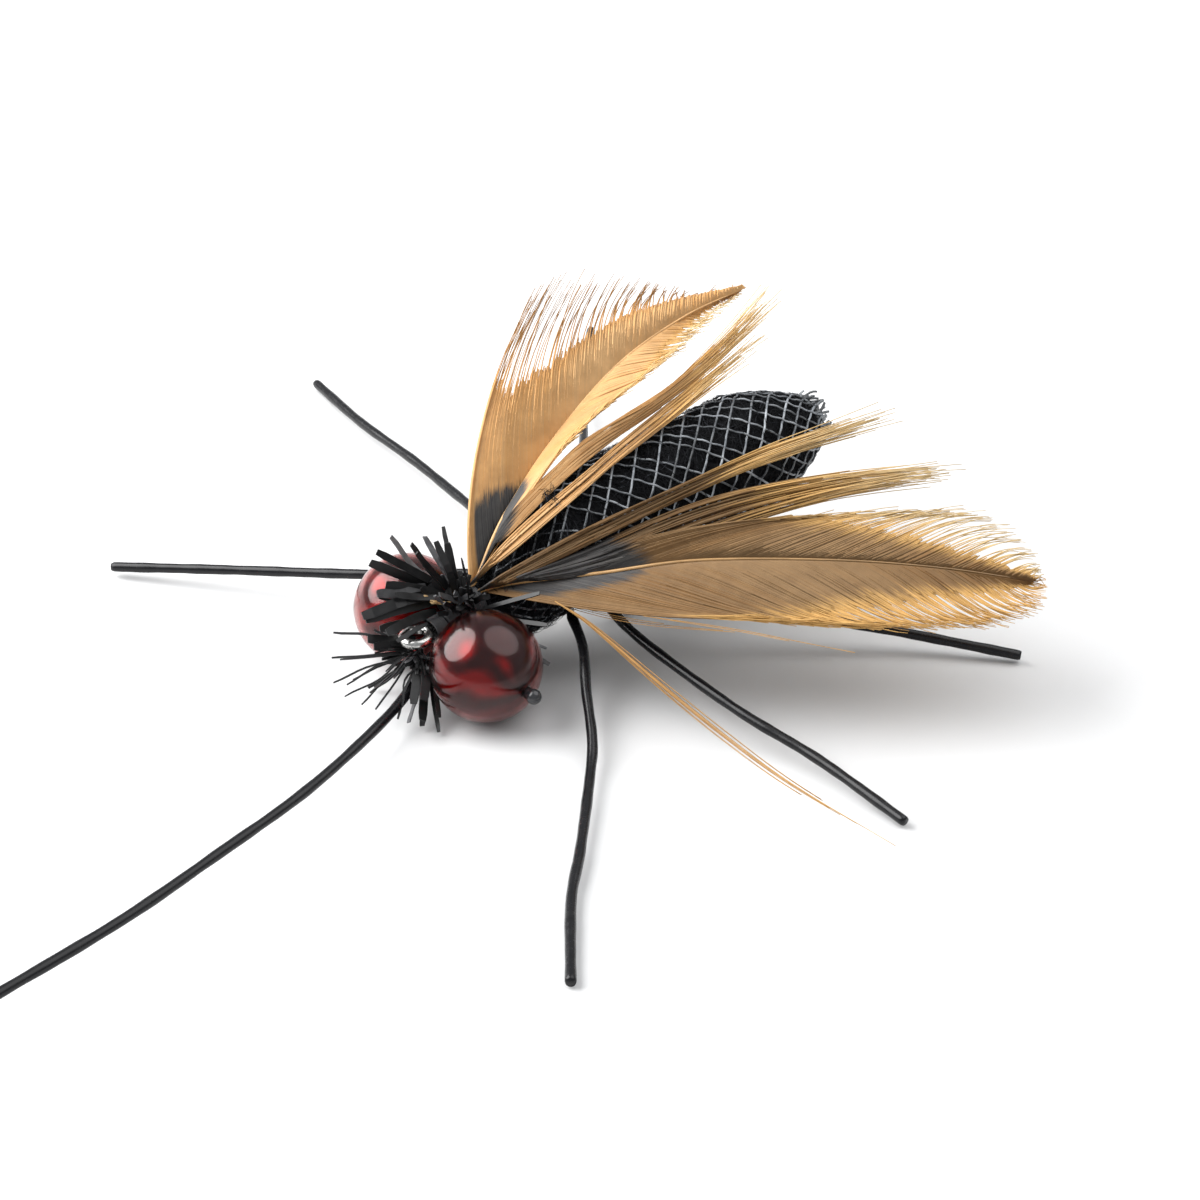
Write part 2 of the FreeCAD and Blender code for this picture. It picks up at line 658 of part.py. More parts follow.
shank_core = rod("shank_core", "sizes.thread_radius", "sizes.slot_end", (0, 0, 0))
wire_core = rod("wire_core", "sizes.wire_radius", "sizes.slot_end", (0, 0, 0))
bars = strand_bars()
sockets = leg_sockets()
stem = eye_stem()
hook()
thread_sleeve("thread_base", "sizes.thread_start", "sizes.thread_end - sizes.thread_start",
              "sizes.thread_radius", 0, [wire_core])
thread_sleeve("whip_finish", "sizes.thread_start", "sizes.whip_length", "sizes.whip_radius", 0,
              [shank_core])
thread_sleeve("eye_lashing", "sizes.lashing_start", "sizes.lashing_length",
              "sizes.lashing_radius", "-sizes.lashing_below", [wire_core, stem])
pitched(copy_of(stem), "eye_stem")
eye("left", -1)
eye("right", 1)
ties = leg_ties(shank_core, bars)
foam = abdomen(shank_core, bars, ties, sockets)
thorax(foam, shank_core, bars, ties, sockets)
feather_butts(shank_core)
chenille()
for name in STRANDS:
    pitched(copy_of(bars[name]), name)
for name, route in LEGS.items():
    leg(name, route)
for name, parts in WINGS.items():
    wing(name, parts)
check()
os.makedirs("parts", exist_ok=True)
for item in pieces:
    item.Shape.exportStep(f"parts/{item.Label}.step")
print(len(pieces), "sub-parts")
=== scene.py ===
"""Cicada dry fly: mesh-covered dubbed body, bead eyes, rubber legs and two split feather wings."""

import math

import bpy
import numpy as np
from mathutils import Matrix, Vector


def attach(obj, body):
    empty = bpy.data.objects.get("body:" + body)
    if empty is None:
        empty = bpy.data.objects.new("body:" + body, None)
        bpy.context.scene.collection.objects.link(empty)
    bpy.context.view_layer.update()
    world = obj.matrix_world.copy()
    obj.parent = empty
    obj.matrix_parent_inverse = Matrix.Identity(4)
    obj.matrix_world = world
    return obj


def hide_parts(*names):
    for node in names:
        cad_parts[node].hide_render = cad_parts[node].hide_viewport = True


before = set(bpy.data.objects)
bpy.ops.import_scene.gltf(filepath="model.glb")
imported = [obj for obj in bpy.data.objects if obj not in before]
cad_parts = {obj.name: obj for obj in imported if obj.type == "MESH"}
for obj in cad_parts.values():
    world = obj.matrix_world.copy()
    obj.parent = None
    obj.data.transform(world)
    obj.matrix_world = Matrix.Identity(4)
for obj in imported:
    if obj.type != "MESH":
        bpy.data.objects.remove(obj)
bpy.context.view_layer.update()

MM = 0.001
PITCH = math.radians(4.3)
BODY_HEIGHT = 1.56
GROUND = -3.8
STEPS_PER_SPAN = 24
rng = np.random.default_rng(41)


# ---------------------------------------------------------------- curves

def unit(v):
    """Vectors scaled to length one."""
    v = np.asarray(v, float)
    return v / np.maximum(np.linalg.norm(v, axis=-1, keepdims=True), 1e-12)


def level(points):
    """Points along a level shank, tipped to the fly's own pitch."""
    p = np.asarray(points, float)
    x = p[..., 0] * math.cos(PITCH) - p[..., 2] * math.sin(PITCH)
    z = p[..., 0] * math.sin(PITCH) + p[..., 2] * math.cos(PITCH)
    return np.stack([x, p[..., 1], z], axis=-1)


def spline(points, count):
    """Smooth line through points, at evenly spaced places."""
    p = np.asarray(points, float)
    ends = np.vstack([2 * p[0] - p[1], p, 2 * p[-1] - p[-2]])
    fine = []
    u = np.linspace(0, 1, STEPS_PER_SPAN, endpoint=False)[:, None]
    for a, b, c, d in zip(ends, ends[1:], ends[2:], ends[3:]):
        fine.append(0.5 * (2 * b + (c - a) * u + (2 * a - 5 * b + 4 * c - d) * u ** 2
                           + (3 * b - a - 3 * c + d) * u ** 3))
    fine = np.vstack(fine + [p[-1:]])
    return resample(fine, count)


def resample(line, count):
    """A line's points moved to even spacing."""
    run = np.concatenate([[0], np.cumsum(np.linalg.norm(np.diff(line, axis=0), axis=1))])
    at = np.linspace(0, run[-1], count)
    return np.stack([np.interp(at, run, line[:, k]) for k in range(3)], axis=1)


def along(line, t):
    """Points at shares t of an evenly spaced line."""
    at = np.clip(np.asarray(t, float), 0, 1) * (len(line) - 1)
    return np.stack([np.interp(at, np.arange(len(line)), line[:, k]) for k in range(3)], axis=-1)


def smoothstep(x, low, high):
    """Smooth rise from 0 at low to 1 at high."""
    u = np.clip((x - low) / (high - low), 0, 1)
    return u * u * (3 - 2 * u)


# ---------------------------------------------------------------- meshes

class Strands:
    """Closed strips and tubes gathered into one mesh."""

    def __init__(self):
        """Start with nothing."""
        self.points = []
        self.faces = []
        self.tints = []
        self.count = 0

    def add(self, line, half_width, half_thickness, normal, tint=(1, 1, 1), sides=4, turn=0.0):
        """One strand along a line, its width across the normal and its thickness along it."""
        line = np.asarray(line, float)
        rings = len(line)
        tangent = unit(np.gradient(line, axis=0))
        across = unit(np.cross(np.broadcast_to(normal, line.shape), tangent))
        upward = np.cross(tangent, across)
        angle = np.linspace(0, 2 * math.pi, sides, endpoint=False) + turn
        wide = np.broadcast_to(half_width, (rings,))[:, None, None]
        thick = np.broadcast_to(half_thickness, (rings,))[:, None, None]
        ring = (across[:, None, :] * np.cos(angle)[None, :, None] * wide
                + upward[:, None, :] * np.sin(angle)[None, :, None] * thick)
        self.points.append((line[:, None, :] + ring).reshape(-1, 3))
        self.tints.append(np.repeat(np.broadcast_to(tint, (rings, 3)), sides, axis=0))
        first = self.count
        base = first + np.arange(rings - 1)[:, None] * sides
        side = np.arange(sides)[None, :]
        after = (side + 1) % sides
        quads = np.stack([base + side, base + after, base + sides + after, base + sides + side], -1)
        self.faces.extend(quads.reshape(-1, 4).tolist())
        self.faces.append(list(range(first + sides - 1, first - 1, -1)))
        last = first + (rings - 1) * sides
        self.faces.append(list(range(last, last + sides)))
        self.count += rings * sides

    def piece(self, name, material, body, nodes=(), smooth=True):
        """The gathered strands as one piece."""
        return mesh_piece(name, np.vstack(self.points), self.faces, material, body, nodes,
                          np.vstack(self.tints), smooth)


def inside_out(points, faces):
    """Whether a closed mesh's faces point inwards, from the volume they enclose."""
    quads = np.array([face for face in faces if len(face) == 4])
    a, b, c, d = (points[quads[:, k]] - points.mean(axis=0) for k in range(4))
    return np.einsum("ij,ij->", np.cross(c - a, d - b), a + b + c + d) < 0


def mesh_piece(name, points, faces, material, body, nodes=(), tints=None, smooth=True):
    """A mesh in millimetres that rides on a body and stands for CAD nodes."""
    mesh = bpy.data.meshes.new(name)
    points = np.asarray(points, float)
    if inside_out(points, faces):
        faces = [face[::-1] for face in faces]
    mesh.from_pydata((points * MM).tolist(), [], faces)
    mesh.polygons.foreach_set("use_smooth", [smooth] * len(mesh.polygons))
    if tints is not None:
        colour = mesh.color_attributes.new("tint", "FLOAT_COLOR", "POINT")
        rgba = np.ones((len(mesh.vertices), 4), np.float32)
        rgba[:, :3] = tints
        colour.data.foreach_set("color", rgba.ravel())
    mesh.materials.append(material)
    mesh.update()
    obj = bpy.data.objects.new(name, mesh)
    bpy.context.collection.objects.link(obj)
    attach(obj, body)
    if nodes:
        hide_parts(*nodes)
    return obj


def lathe(profile, centre, axis, around):
    """Points of a surface turned about an axis: profile holds (along, radius) pairs."""
    axis = unit(axis)
    side = unit(np.cross(axis, (0.1, 0.2, 1.0)))
    other = np.cross(axis, side)
    angle = np.linspace(0, 2 * math.pi, around, endpoint=False)
    spoke = np.cos(angle)[:, None] * side + np.sin(angle)[:, None] * other
    profile = np.asarray(profile, float)
    points = (np.asarray(centre, float) + profile[:, 0][:, None, None] * axis
              + profile[:, 1][:, None, None] * spoke)
    return points.reshape(-1, 3)


def ring_faces(rows, around, closed):
    """Quads between rings of points, joined end to end when closed, or capped otherwise."""
    faces = []
    step = np.arange(around)
    after = (step + 1) % around
    for row in range(rows if closed else rows - 1):
        one = row * around
        two = (row + 1) % rows * around
        quads = np.stack([one + step, two + step, two + after, one + after], -1)
        faces.extend(quads.tolist())
    if not closed:
        faces.append(list(range(around)))
        faces.append(list(range(rows * around - 1, (rows - 1) * around - 1, -1)))
    return faces


# ---------------------------------------------------------------- materials

def linear(r, g, b):
    """sRGB 0-255 to linear."""
    return tuple(((c / 255) ** 2.2) for c in (r, g, b))


def shader(name, rough, metallic=0.0, **sockets):
    """A new material, and what is needed to build on its surface shader."""
    material = bpy.data.materials.new(name)
    material.use_nodes = True
    nodes = material.node_tree.nodes
    surface = nodes["Principled BSDF"]
    surface.inputs["Roughness"].default_value = rough
    surface.inputs["Metallic"].default_value = metallic
    for socket, value in sockets.items():
        surface.inputs[socket.replace("_", " ")].default_value = value
    return material, nodes, material.node_tree.links, surface


def speckled(name, light, dark, scale, rough, metallic=0.0, bump=0.3, reach=0.02, tint=False,
             rough_spread=0.12, **sockets):
    """Noise between two colours with matching bumps; tint multiplies in the mesh's own colour."""
    material, nodes, links, surface = shader(name, rough, metallic, **sockets)
    place = nodes.new("ShaderNodeTexCoord")
    noise = nodes.new("ShaderNodeTexNoise")
    noise.inputs["Scale"].default_value = scale
    noise.inputs["Detail"].default_value = 6
    noise.inputs["Roughness"].default_value = 0.6
    ramp = nodes.new("ShaderNodeValToRGB")
    ramp.color_ramp.elements[0].position = 0.34
    ramp.color_ramp.elements[1].position = 0.68
    ramp.color_ramp.elements[0].color = (*dark, 1)
    ramp.color_ramp.elements[1].color = (*light, 1)
    links.new(place.outputs["Object"], noise.inputs["Vector"])
    links.new(noise.outputs["Fac"], ramp.inputs["Fac"])
    colour = ramp.outputs["Color"]
    if tint:
        attribute = nodes.new("ShaderNodeAttribute")
        attribute.attribute_name = "tint"
        mix = nodes.new("ShaderNodeMix")
        mix.data_type = "RGBA"
        mix.blend_type = "MULTIPLY"
        mix.inputs["Factor"].default_value = 1
        links.new(colour, mix.inputs["A"])
        links.new(attribute.outputs["Color"], mix.inputs["B"])
        colour = mix.outputs["Result"]
    links.new(colour, surface.inputs["Base Color"])
    spread = nodes.new("ShaderNodeMapRange")
    spread.inputs["To Min"].default_value = max(rough - rough_spread, 0.02)
    spread.inputs["To Max"].default_value = min(rough + rough_spread, 1)
    links.new(noise.outputs["Fac"], spread.inputs["Value"])
    links.new(spread.outputs["Result"], surface.inputs["Roughness"])
    if bump:
        bumps = nodes.new("ShaderNodeBump")
        bumps.inputs["Strength"].default_value = bump
        bumps.inputs["Distance"].default_value = reach * MM
        links.new(noise.outputs["Fac"], bumps.inputs["Height"])
        links.new(bumps.outputs["Normal"], surface.inputs["Normal"])
    return material


STEEL = speckled("hook_steel", (0.62, 0.61, 0.59), (0.34, 0.34, 0.33), 3000, 0.24,
                 metallic=1.0, bump=0.15, reach=0.01)
THREAD = speckled("waxed_black_thread", (0.035, 0.035, 0.038), (0.01, 0.01, 0.011), 9000, 0.42,
                  bump=0.6, reach=0.02)
MONO = speckled("dark_monofilament", (0.03, 0.03, 0.033), (0.012, 0.012, 0.014), 1500, 0.18,
                bump=0.1)
FOAM = speckled("closed_cell_foam", (0.03, 0.03, 0.032), (0.012, 0.012, 0.012), 3500, 0.8, bump=0.8,
                reach=0.08)
DUBBING = speckled("black_dubbing", (0.013, 0.014, 0.015), (0.003, 0.003, 0.004), 1600, 0.85,
                   bump=1.0, reach=0.15, tint=True, Specular_IOR_Level=0.15)
FILAMENT = speckled("mesh_filament", (0.36, 0.38, 0.39), (0.1, 0.11, 0.12), 1300, 0.36, bump=0.2,
                    tint=True, Specular_IOR_Level=0.4)
SEAL = speckled("melted_mesh_end", (0.12, 0.125, 0.13), (0.015, 0.015, 0.017), 1400, 0.45,
                bump=1.0, reach=0.15, tint=True)
CORE_YARN = speckled("chenille_yarn", (0.03, 0.03, 0.03), (0.01, 0.01, 0.01), 4000, 0.6, bump=0.8,
                     reach=0.05)
BLADE = speckled("chenille_blade", (1.0, 1.0, 1.0), (0.55, 0.55, 0.57), 1800, 0.34, bump=0.25,
                 tint=True, Specular_IOR_Level=0.3)
RUBBER = speckled("black_rubber", (0.007, 0.007, 0.008), (0.004, 0.004, 0.005), 2200, 0.26,
                  bump=0.3, reach=0.02, Specular_IOR_Level=0.3)
VANE = speckled("feather_vane", (1.0, 1.0, 1.0), (0.8, 0.78, 0.76), 900, 0.55, bump=0.15,
                tint=True, Specular_IOR_Level=0.25)
QUILL = speckled("feather_quill", (1.0, 1.0, 1.0), (0.8, 0.78, 0.74), 1500, 0.35, bump=0.15,
                 tint=True)
BEAD = speckled("foil_bead", (1.0, 1.0, 1.0), (0.6, 0.55, 0.55), 500, 0.44, metallic=0.75,
                bump=0.5, reach=0.1, tint=True, rough_spread=0.1)
LACQUER = speckled("clear_lacquer", linear(204, 132, 126), linear(180, 100, 98), 400, 0.12,
                   bump=0.03, rough_spread=0.08, Transmission_Weight=1.0, IOR=1.4,
                   Specular_IOR_Level=0.2)


# ---------------------------------------------------------------- hook and thread

THREAD_HALF = 0.07


def dress(node, material):
    """A new material on a CAD node that keeps its own shape."""
    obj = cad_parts[node]
    obj.data.materials.clear()
    obj.data.materials.append(material)


def wraps(name, node, start, length, radius, centre, pitch):
    """Touching turns of thread round a level part of the shank."""
    turns = length / pitch
    steps = max(int(turns * 20), 40)
    u = np.linspace(0, 1, steps)
    wander = 0.012 * np.sin(u * turns * 1.7)
    angle = 2 * math.pi * turns * u
    reach = radius - THREAD_HALF * 0.6 + wander
    spoke = np.stack([np.zeros(steps), np.cos(angle), np.sin(angle)], axis=1)
    line = np.stack([start + THREAD_HALF + (length - 2 * THREAD_HALF) * u, reach * np.cos(angle),
                     centre + reach * np.sin(angle)], axis=1)
    coil = Strands()
    coil.add(level(line), THREAD_HALF, THREAD_HALF, level(spoke), sides=8)
    coil.piece(name, THREAD, "fly", [node])


# ---------------------------------------------------------------- eyes

BEAD_BEHIND = 1.9
BEAD_ASIDE = 3.52
BEAD_BELOW = 0.94
STEM_APEX = (1.32, 0.0, -0.53)
BEAD_RADIUS = 3.0
CORE_RADIUS = 2.75
BEAD_HOLE = 0.3
BEAD_ROWS = 72
BEAD_AROUND = 128
LACQUER_GAP = 0.02
HOLE_GAP = 0.01
FOIL_DARK = np.array(linear(62, 20, 24))
FOIL_RED = np.array(linear(236, 40, 34))
# Painted reflections on the foil, as bright bands: degrees round the bead's hole from the top,
# width and strength.
FOIL_REFLECTION_BANDS = ((-75, 13, 1.5), (-36, 8, 0.9), (75, 12, 1.7), (130, 12, 0.4), (-140, 14, 0.8))
# Painted reflection spots: degrees round the bead's hole from the top, and width.
FOIL_REFLECTION_SPOTS = (36, 8)


def ball_profile(outer, hole):
    """Half outline of a drilled ball."""
    reach = math.asin(hole / outer)
    angle = np.linspace(reach, math.pi - reach, BEAD_ROWS)
    return np.stack([-outer * np.cos(angle), outer * np.sin(angle)], axis=1)


def band(angle, centre, width):
    """A soft band across an angle in degrees."""
    away = (angle - centre + 180) % 360 - 180
    return np.exp(-(away / width) ** 2)


def bead_foil_and_painted_reflections(outward, axis, side):
    """Foil lining with painted reflections: bright red bands and spots between dark ones, turning
    about the bead's hole; painted light on the pole facing the head, and darker towards the outer
    pole.
    """
    latitude = outward @ axis
    flat = unit(outward - latitude[:, None] * axis)
    up = unit(np.array((0.0, 0.0, 1.0)) - axis[2] * axis)
    ahead = np.cross(axis, up)
    angle = np.degrees(np.arctan2(flat @ ahead, flat @ up))
    angle = angle + 7 * np.sin(latitude * 4.0 + side) + 4 * np.sin(latitude * 9 + angle / 17)
    spots = 0.5 + 0.5 * np.sin(latitude * 9 + 1.1)
    # Painted reflection spots, plus painted light that brightens the pole facing the head.
    bright = spots ** 2 * band(angle, *FOIL_REFLECTION_SPOTS) + 0.5 * smoothstep(-latitude, 0.45, 0.85)
    # Painted reflection bands.
    for centre, width, strength in FOIL_REFLECTION_BANDS:
        bright = bright + strength * band(angle, centre, width)
    # Darker towards the outer pole.
    bright = np.clip(bright * (1 - 0.7 * smoothstep(latitude, 0.72, 0.97)), 0, 1)
    return FOIL_DARK + (FOIL_RED - FOIL_DARK) * bright[:, None]


def eye(side_name, side):
    """The foil core and the clear shell of one bead."""
    centre = level((BEAD_BEHIND, side * BEAD_ASIDE, -BEAD_BELOW))
    axis = unit(centre - level(STEM_APEX))
    core = ball_profile(CORE_RADIUS, BEAD_HOLE)
    points = lathe(core, centre, axis, BEAD_AROUND)
    faces = ring_faces(len(core), BEAD_AROUND, True)
    mesh_piece(side_name + "_eye_bead", points, faces, BEAD, "fly", [side_name + "_eye_core"],
               bead_foil_and_painted_reflections(unit(points - centre), axis, side))
    inner = ball_profile(CORE_RADIUS + LACQUER_GAP, BEAD_HOLE + HOLE_GAP)
    shell = np.vstack([ball_profile(BEAD_RADIUS, BEAD_HOLE), inner[::-1]])
    points = lathe(shell, centre, axis, BEAD_AROUND)
    faces = ring_faces(len(shell), BEAD_AROUND, True)
    mesh_piece(side_name + "_eye_shell", points, faces, LACQUER, "fly",
               [side_name + "_eye_lacquer"])


# ---------------------------------------------------------------- body

FRONT = 4.15
BACK = 27.15
# Body sections: distance along the shank, radius, height of the centre.
BELLY = [(4.15, 0.95, -0.15), (4.9, 1.6, -0.3), (5.8, 2.15, -0.15), (7.4, 2.8, 0.7),
         (9.0, 3.25, 1.56), (12.0, 3.3, 1.56), (22.4, 3.3, 1.56), (24.6, 2.75, 1.56),
         (26.2, 2.05, 1.56), (27.2, 1.5, 1.56)]
SKIN_ROWS_PER_MM = 9
SKIN_AROUND = 160
FIBRE_POINTS = 6
PALE_FIBRE_SHARE = 0.05
MESH_START, MESH_END = 5.0, 27.35
MESH_TURNS = 1.02
MESH_PER_WAY = 16
# Melted lump at the tail: distance along the shank and radius.
TAIL_PROFILE = [(27.0, 0.4), (27.05, 1.3), (27.3, 1.48), (27.55, 1.3), (27.72, 0.9), (27.78, 0.35)]
TAIL_AROUND = 72
TAIL_WIRES = 80


def body_line(x):
    """Radius and centre height of the body at a distance along the shank."""
    table = np.array(BELLY)
    return np.interp(x, table[:, 0], table[:, 1]), np.interp(x, table[:, 0], table[:, 2])


def around_shank(x, reach, angle, height):
    """Points at a reach and angle about a line above the shank."""
    return level(np.stack([x, reach * np.sin(angle), height + reach * np.cos(angle)], axis=-1))


def on_body(x, angle, lift):
    """A point lift above the body's surface."""
    radius, height = body_line(x)
    return around_shank(x, radius + lift, angle, height)


def spoke_at(angle):
    """The outward direction at an angle about the shank."""
    return level(np.stack([np.zeros_like(angle), np.sin(angle), np.cos(angle)], axis=-1))


def lumps(x, angle, size):
    """Smooth uneven swelling."""
    waves = np.sin(x * 3.1 / size + 2 * np.sin(angle * 3))
    broad = waves * np.sin(angle * round(5 / size) + x * 1.3)
    fine = 0.6 * np.sin(x * 5.3 / size + 1.7) * np.sin(angle * round(9 / size) - x * 2.1)
    return broad + fine


def dubbed_skin(name, start, end, node, seed_shift):
    """Packed dubbing as a lumpy closed surface."""
    rows = int((end - start) * SKIN_ROWS_PER_MM)
    x = np.linspace(start, end, rows)[:, None]
    angle = np.linspace(0, 2 * math.pi, SKIN_AROUND, endpoint=False)[None, :]
    x, angle = np.broadcast_arrays(x, angle)
    lift = -0.14 + 0.05 * lumps(x + seed_shift, angle, 1) + 0.03 * lumps(x, angle, 0.4)
    ends = 1 - smoothstep(np.abs((x - start) / (end - start) - 0.5), 0.485, 0.5) * 0.12
    radius, _ = body_line(x)
    points = on_body(x, angle, lift - radius * (1 - ends)).reshape(-1, 3)
    mesh_piece(name, points, ring_faces(rows, SKIN_AROUND, False), DUBBING, "fly", [node],
               np.ones((len(points), 3)))


def fuzz(name, start, end, count, stand):
    """Curled dubbing fibres, most of them lying along the surface."""
    hairs = Strands()
    u = np.linspace(0, 1, FIBRE_POINTS)
    for _ in range(count):
        x = rng.uniform(start, end)
        angle = rng.uniform(0, 2 * math.pi)
        heading = rng.uniform(0, 2 * math.pi)
        length = rng.uniform(0.9, 2.6)
        curl = rng.normal(0, 0.6)
        loft = min(abs(rng.normal(0, stand)), 1.6 * stand) + 0.03
        radius, _ = body_line(x)
        path_x = np.clip(x + length * np.cos(heading + curl * u) * u * 0.8, FRONT, BACK)
        path_angle = angle + length * np.sin(heading + curl * u) * u / max(float(radius), 0.9)
        lift = -0.1 + loft * np.sin(u * math.pi * rng.uniform(0.5, 0.95)) + 0.05 * np.sin(u * 9)
        line = on_body(path_x, path_angle, lift)
        shade = rng.uniform(0.5, 1.5)
        if rng.random() < PALE_FIBRE_SHARE:
            shade = rng.uniform(3.0, 7.0)
        thick = rng.uniform(0.016, 0.032) * (1 - 0.6 * u)
        hairs.add(line, thick, thick, spoke_at(path_angle), (shade, shade, shade * 1.05), 3)
    hairs.piece(name, DUBBING, "fly", ())


def braid():
    """Two families of crossing filaments, gathered in behind the wings and at the tail."""
    net = Strands()
    u = np.linspace(0, 1, 150)
    for way in (1, -1):
        for k in range(MESH_PER_WAY):
            x = MESH_START + (MESH_END - MESH_START) * u
            drift = 0.05 * np.sin(u * 13 + k * 1.7) + rng.normal(0, 0.035)
            first = 2 * math.pi * (k + 0.5 * (way > 0)) / MESH_PER_WAY
            angle = way * 2 * math.pi * MESH_TURNS * u + first + drift
            crossings = 2 * math.pi * MESH_TURNS * MESH_PER_WAY * 2 * u
            over = np.cos(crossings + k * math.pi) * way
            lift = 0.1 + 0.05 * over + 0.02 * np.sin(u * 31 + k)
            line = on_body(x, angle, lift)
            shade = rng.uniform(0.5, 1.15)
            fade = shade * (0.75 + 0.4 * np.sin(u * 23 + k * 2.1))
            tint = np.stack([fade, fade, fade * 1.03], axis=1)
            net.add(line, 0.062, 0.05, spoke_at(angle), tint, 6)
    net.piece("sleeve_braid", FILAMENT, "fly", ["mesh_sleeve"])


def tail():
    """The cut end of the sleeve: melted lump and ragged filament ends."""
    profile = np.array(TAIL_PROFILE)
    reach = profile[:, 1:]
    angle = np.linspace(0, 2 * math.pi, TAIL_AROUND, endpoint=False)[None, :]
    x, angle = np.broadcast_arrays(profile[:, :1], angle)
    bumpy = reach * (1 + 0.1 * np.sin(angle * 7) + 0.06 * np.sin(angle * 13 + 1))
    bumpy_x = x + 0.07 * np.sin(angle * 9 + reach * 4)
    points = around_shank(bumpy_x, bumpy, angle, BODY_HEIGHT).reshape(-1, 3)
    mesh_piece("tail_lump", points, ring_faces(len(profile), TAIL_AROUND, False), SEAL, "fly",
               ["tail_seal"], np.ones((len(points), 3)))
    ends = Strands()
    u = np.linspace(0, 1, 7)
    for k in range(TAIL_WIRES):
        angle = 2 * math.pi * k / TAIL_WIRES + rng.normal(0, 0.06)
        length = rng.uniform(0.4, 1.3)
        reach = 1.62 - 0.5 * u * rng.uniform(0.0, 1.4) + 0.1 * np.sin(u * 5 + k)
        x = 26.9 + length * u
        around_it = angle + rng.normal(0, 0.25) * u
        line = around_shank(x, reach, around_it, BODY_HEIGHT)
        shade = rng.uniform(0.3, 1.2)
        ends.add(line, 0.08, 0.065, spoke_at(around_it), (shade, shade, shade), 5)
    ends.piece("tail_wires", FILAMENT, "fly", ())


# ---------------------------------------------------------------- chenille

# Root, tip and width of the flat fibres, along a level shank.
BLADES = [
    ((-0.75, 0.5, -0.9), (-3.8, 2.4, -1.1), 0.14), ((-0.8, 0.25, -1.2), (-4.6, 0.9, -1.6), 0.12),
    ((-0.6, 0.85, -0.6), (-3.4, 3.4, 0.1), 0.16), ((-0.8, -0.1, -0.85), (-4.8, -0.5, -1.2), 0.12),
    ((-0.75, -0.5, -0.6), (-4.6, -2.0, -0.9), 0.14),
    ((-0.55, -0.9, -0.8), (-3.8, -2.9, -0.9), 0.12),
    ((-0.8, 0.1, -1.0), (-4.3, 0.2, -0.4), 0.1), ((-0.8, 0.3, -0.8), (-4.2, 1.7, -0.3), 0.11),
    ((-0.75, -0.3, -1.1), (-4.0, -1.3, -2.1), 0.12), ((-0.7, 0.4, -1.3), (-3.6, 1.9, -2.2), 0.12),
    ((-0.6, -0.6, -1.2), (-3.0, -3.0, -2.3), 0.16), ((-0.75, 0.0, -1.3), (-3.9, 0.4, -2.6), 0.1),
    ((0.65, 0.6, -1.5), (-1.6, 2.0, -3.2), 0.3), ((-0.75, 0.35, -1.7), (-2.6, 1.4, -2.9), 0.2),
    ((2.9, 0.0, 1.2), (1.9, 0.2, 5.1), 0.42), ((2.95, -0.78, 1.05), (2.6, -0.9, 4.4), 0.4),
    ((2.95, 0.78, 1.05), (1.7, 1.3, 4.7), 0.42), ((2.55, 1.0, 1.05), (0.2, 2.4, 4.8), 0.4),
    ((2.7, 0.5, 1.3), (0.9, 0.6, 5.6), 0.38), ((2.8, 0.2, 1.4), (-0.2, 0.5, 6.0), 0.34),
    ((3.1, 0.3, 1.3), (2.8, 0.6, 4.3), 0.5), ((3.1, 0.2, 1.2), (2.2, 0.8, 3.8), 0.6),
    ((2.3, 0.85, 1.4), (-1.4, 2.3, 3.3), 0.62), ((2.4, 0.85, 1.7), (-0.8, 3.0, 4.2), 0.5),
    ((1.6, 0.8, 2.0), (-1.7, 1.4, 3.1), 0.58), ((2.1, 0.7, 1.4), (-2.3, 1.2, 2.2), 0.66),
    ((1.9, 0.5, 1.0), (-2.2, 0.8, 1.3), 0.7), ((1.5, 0.4, 0.8), (-1.9, 0.3, 1.0), 0.6),
    ((2.5, 0.6, 1.0), (-1.0, 1.9, 2.4), 0.8), ((2.3, 0.3, 1.2), (-0.4, 1.2, 2.6), 0.8),
    ((2.4, -0.5, 1.4), (0.6, -1.5, 3.1), 0.4), ((2.0, 0.2, 1.6), (-0.6, 0.2, 2.9), 0.5),
    ((0.4, 0.5, -0.6), (-2.1, 1.6, 0.5), 0.6), ((0.3, 0.4, -0.9), (-2.1, 1.0, -0.5), 0.6),
    ((0.9, 0.5, 0.3), (-1.5, 0.9, 0.7), 0.56), ((0.7, -0.2, 0.6), (-1.5, -0.5, 0.9), 0.3),
    ((3.4, -1.3, 0.8), (4.9, -3.9, 2.0), 0.3), ((3.5, -1.2, 0.4), (5.2, -4.7, 0.7), 0.28),
    ((3.5, -1.2, 0.0), (5.1, -5.0, -0.5), 0.3), ((3.3, -1.3, -0.3), (4.7, -5.2, -1.4), 0.3),
    ((3.4, 1.3, 0.8), (4.9, 4.4, 2.2), 0.3), ((3.5, 1.2, 0.2), (5.2, 4.8, 0.4), 0.28),
    ((-0.2, -1.1, -1.6), (-2.0, -3.0, -3.2), 0.44), ((0.0, -1.0, -1.7), (-1.6, -3.7, -3.2), 0.28),
    ((0.2, -0.9, -1.8), (-0.9, -3.4, -3.3), 0.3), ((-0.4, -0.9, -1.5), (-2.6, -2.8, -2.8), 0.5),
    ((-0.3, -1.0, -1.3), (-2.2, -3.3, -2.4), 0.6), ((-0.2, -1.1, -1.0), (-1.8, -3.0, -1.6), 0.6),
    ((-0.5, -0.7, -1.0), (-2.0, -2.2, -1.9), 0.56),
]
COLLAR_BLADES = 70
FRONT_BLADES = 46
